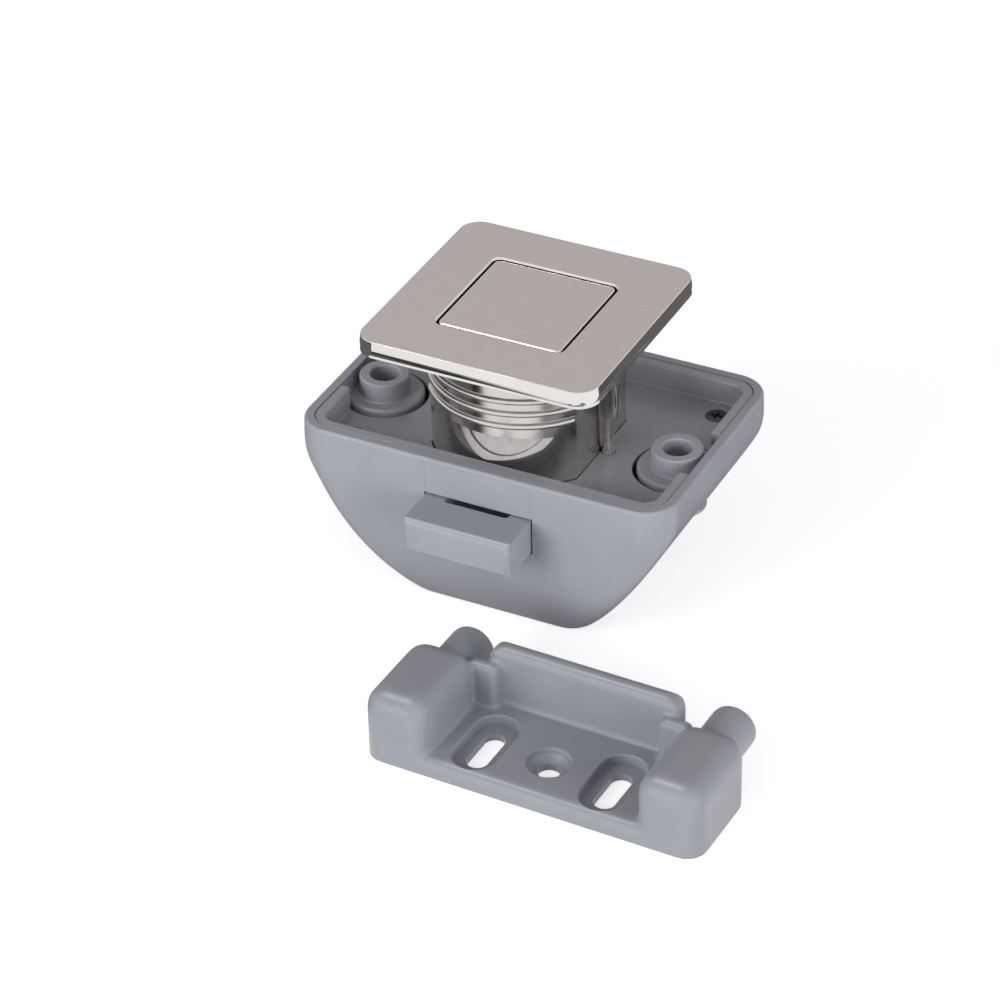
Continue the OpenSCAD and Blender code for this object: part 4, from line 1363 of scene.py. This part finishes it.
class LOCK_OT_stage(bpy.types.Operator):
    """Sets up the floor, the light and the camera"""

    bl_idname = "lock.stage"
    bl_label = "Floor, light and camera"

    def execute(self, context):
        self.floor()
        self.world(context.scene)
        self.lamps()
        self.camera(context.scene)
        context.scene.view_settings.view_transform = "Standard"
        return {"FINISHED"}

    def floor(self):
        """Pale floor that keeps the shadow; for glossy rays it glows instead with a painted reflection."""
        let_go()
        bpy.ops.mesh.primitive_plane_add(size=6, location=(0, 0, GROUND))
        ground = settle(bpy.context.object)
        ground.name = "studio_floor"
        material, nodes, link, shader = new_material("studio_floor")
        speck = object_noise(nodes, link, 30)
        link(tinted(nodes, link, speck, FLOOR_SHADE, 0.995, 1.005), shader.inputs["Base Color"])
        shader.inputs["Roughness"].default_value = 0.9
        shader.inputs["Specular IOR Level"].default_value = 0
        rays = new_node(nodes, "LightPath")
        level = new_node(nodes, "Math", {1: FLOOR_GLOW}, operation="MULTIPLY")
        link(rays.outputs["Is Camera Ray"], level.inputs[0])
        glow = new_node(nodes, "Emission")
        link(level.outputs[0], glow.inputs["Strength"])
        both = new_node(nodes, "AddShader")
        link(shader.outputs["BSDF"], both.inputs[0])
        link(glow.outputs["Emission"], both.inputs[1])
        # Glossy rays see the painted reflection instead of the lit floor
        mirrored = new_node(nodes, "MixShader")
        link(rays.outputs["Is Glossy Ray"], mirrored.inputs["Fac"])
        link(both.outputs["Shader"], mirrored.inputs[1])
        link(self.painted_reflection_view(nodes, link), mirrored.inputs[2])
        link(mirrored.outputs["Shader"], nodes["Material Output"].inputs["Surface"])
        dress(ground, material)

    def painted_reflection_view(self, nodes, link):
        """Painted reflection: the floor as glossy rays see it, emitted white in front and at the right, and
        painted grey and dark near the object and behind, so the metal shows dark bands.
        """
        ground = new_node(nodes, "TexCoord")
        across = new_node(nodes, "MapRange", {"From Min": 0, "From Max": MIRROR_REACH})
        link(toward(nodes, link, ground.outputs["Object"], MIRROR_TOWARD), across.inputs["Value"])
        colour = shades(nodes, link, across.outputs["Result"], (0.08, PAINTED_REFLECTION_NEAR), (0.40, WHITE),
                        (0.13, PAINTED_REFLECTION_DARK), (0.29, PAINTED_REFLECTION_DARK))
        glow = new_node(nodes, "Emission")
        link(colour, glow.inputs["Color"])
        return glow.outputs["Emission"]

    def world(self, scene):
        """Even light from all round, greyer behind the object, and white where the camera sees it."""
        world = bpy.data.worlds.new("studio")
        scene.world = world
        world.use_nodes = True
        nodes = world.node_tree.nodes
        link = world.node_tree.links.new
        nodes.clear()
        place = new_node(nodes, "TexCoord")
        behind = toward(nodes, link, place.outputs["Generated"], SKY_BEHIND)
        sky = shades(nodes, link, behind, (0.2, SKY_FRONT_SHADE), (0.8, SKY_BACK_SHADE))
        rays = new_node(nodes, "LightPath")
        mix = new_node(nodes, "Mix", {"B": (*WHITE, 1)}, data_type="RGBA")
        link(rays.outputs["Is Camera Ray"], mix.inputs["Factor"])
        link(sky, mix.inputs["A"])
        either = new_node(nodes, "Math", operation="MAXIMUM")
        link(rays.outputs["Is Camera Ray"], either.inputs[0])
        link(rays.outputs["Is Glossy Ray"], either.inputs[1])
        level = new_node(nodes, "MapRange", {"To Min": SKY_STRENGTH, "To Max": 1})
        link(either.outputs[0], level.inputs["Value"])
        back = new_node(nodes, "Background")
        link(level.outputs["Result"], back.inputs["Strength"])
        link(mix.outputs["Result"], back.inputs["Color"])
        out = new_node(nodes, "OutputWorld")
        link(back.outputs["Background"], out.inputs["Surface"])

    def lamps(self):
        """Soft lamps low at the front left and the right, and one overhead that only makes edges shine."""
        self.lamp("key_light", (-0.30, -0.65, 0.20), size=0.4, power=3.5)
        self.lamp("fill_light", (0.66, -0.28, 0.13), size=0.35, power=2.7)
        shine = self.lamp("shine_light", (-0.35, -0.05, 0.85), size=0.3, power=2.2)
        shine.visible_glossy = True
        shine.visible_diffuse = False

    def lamp(self, name, place, size, power):
        """Square lamp that looks at the object."""
        bpy.ops.object.light_add(type="AREA", location=place)
        lamp = bpy.context.object
        lamp.name = name
        lamp.data.size = size
        lamp.data.energy = power
        lamp.visible_glossy = False
        lamp.rotation_euler = (AIM - Vector(place)).to_track_quat("-Z", "Y").to_euler()
        return lamp

    def camera(self, scene):
        """Camera at the place from which the picture was taken."""
        turn, rise = CAMERA_TURN, CAMERA_RISE
        back = Vector((sin(turn) * cos(rise), -cos(turn) * cos(rise), sin(rise)))
        right = Vector((cos(turn), sin(turn), 0))
        up = back.cross(right)
        across = cos(CAMERA_ROLL) * right + sin(CAMERA_ROLL) * up
        upward = cos(CAMERA_ROLL) * up - sin(CAMERA_ROLL) * right
        scale = CAMERA_DEPTH / CAMERA_FOCUS
        offset_x = (ORIGIN_PIXEL[0] - FRAME_PIXELS / 2) * scale
        offset_y = (FRAME_PIXELS / 2 - ORIGIN_PIXEL[1]) * scale
        place = CAMERA_DEPTH * back - offset_x * across - offset_y * upward
        bpy.ops.object.camera_add()
        camera = bpy.context.object
        camera.name = "studio_camera"
        axes = Matrix((across, upward, back)).transposed().to_4x4()
        camera.matrix_world = Matrix.Translation(place) @ axes
        camera.data.sensor_width = SENSOR_MM
        camera.data.lens = SENSOR_MM * CAMERA_FOCUS / FRAME_PIXELS
        camera.data.clip_start = 0.01
        camera.data.clip_end = 20
        scene.camera = camera


PIECES = (LOCK_OT_case, LOCK_OT_tray, LOCK_OT_barrel, LOCK_OT_pins, LOCK_OT_rosette, LOCK_OT_button,
          LOCK_OT_bolt, LOCK_OT_strike, LOCK_OT_inner, LOCK_OT_stage)
SIZES = {
    "lock_housing": HousingSizes, "lock_tray": TraySizes, "lock_barrel": BarrelSizes,
    "lock_rosette": RosetteSizes, "lock_bolt": BoltSizes, "lock_strike": StrikeSizes,
    "lock_finishes": Finishes,
}


class LOCK_PT_panel(bpy.types.Panel):
    """Sizes, colours and building steps of the lock"""

    bl_idname = "LOCK_PT_panel"
    bl_label = "Cabinet lock"
    bl_space_type = "VIEW_3D"
    bl_region_type = "UI"
    bl_category = "Cabinet lock"

    def draw(self, context):
        for name in SIZES:
            box = self.layout.box()
            sizes = getattr(context.scene, name)
            for key in sizes.bl_rna.properties.keys():
                if key not in ("rna_type", "name"):
                    box.prop(sizes, key)
        for piece in PIECES:
            self.layout.operator(piece.bl_idname)


def register():
    for group in SIZES.values():
        bpy.utils.register_class(group)
    for name, group in SIZES.items():
        setattr(bpy.types.Scene, name, bpy.props.PointerProperty(type=group))
    for piece in PIECES:
        bpy.utils.register_class(piece)
    bpy.utils.register_class(LOCK_PT_panel)


def unregister():
    bpy.utils.unregister_class(LOCK_PT_panel)
    for piece in reversed(PIECES):
        bpy.utils.unregister_class(piece)
    for name, group in SIZES.items():
        delattr(bpy.types.Scene, name)
        bpy.utils.unregister_class(group)


def main():
    """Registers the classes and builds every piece."""
    register()
    bpy.ops.lock.case()
    bpy.ops.lock.tray()
    bpy.ops.lock.barrel()
    bpy.ops.lock.pins()
    bpy.ops.lock.rosette()
    bpy.ops.lock.button()
    bpy.ops.lock.bolt()
    bpy.ops.lock.strike()
    bpy.ops.lock.inner()
    bpy.ops.lock.stage()


if __name__ == "__main__":
    main()
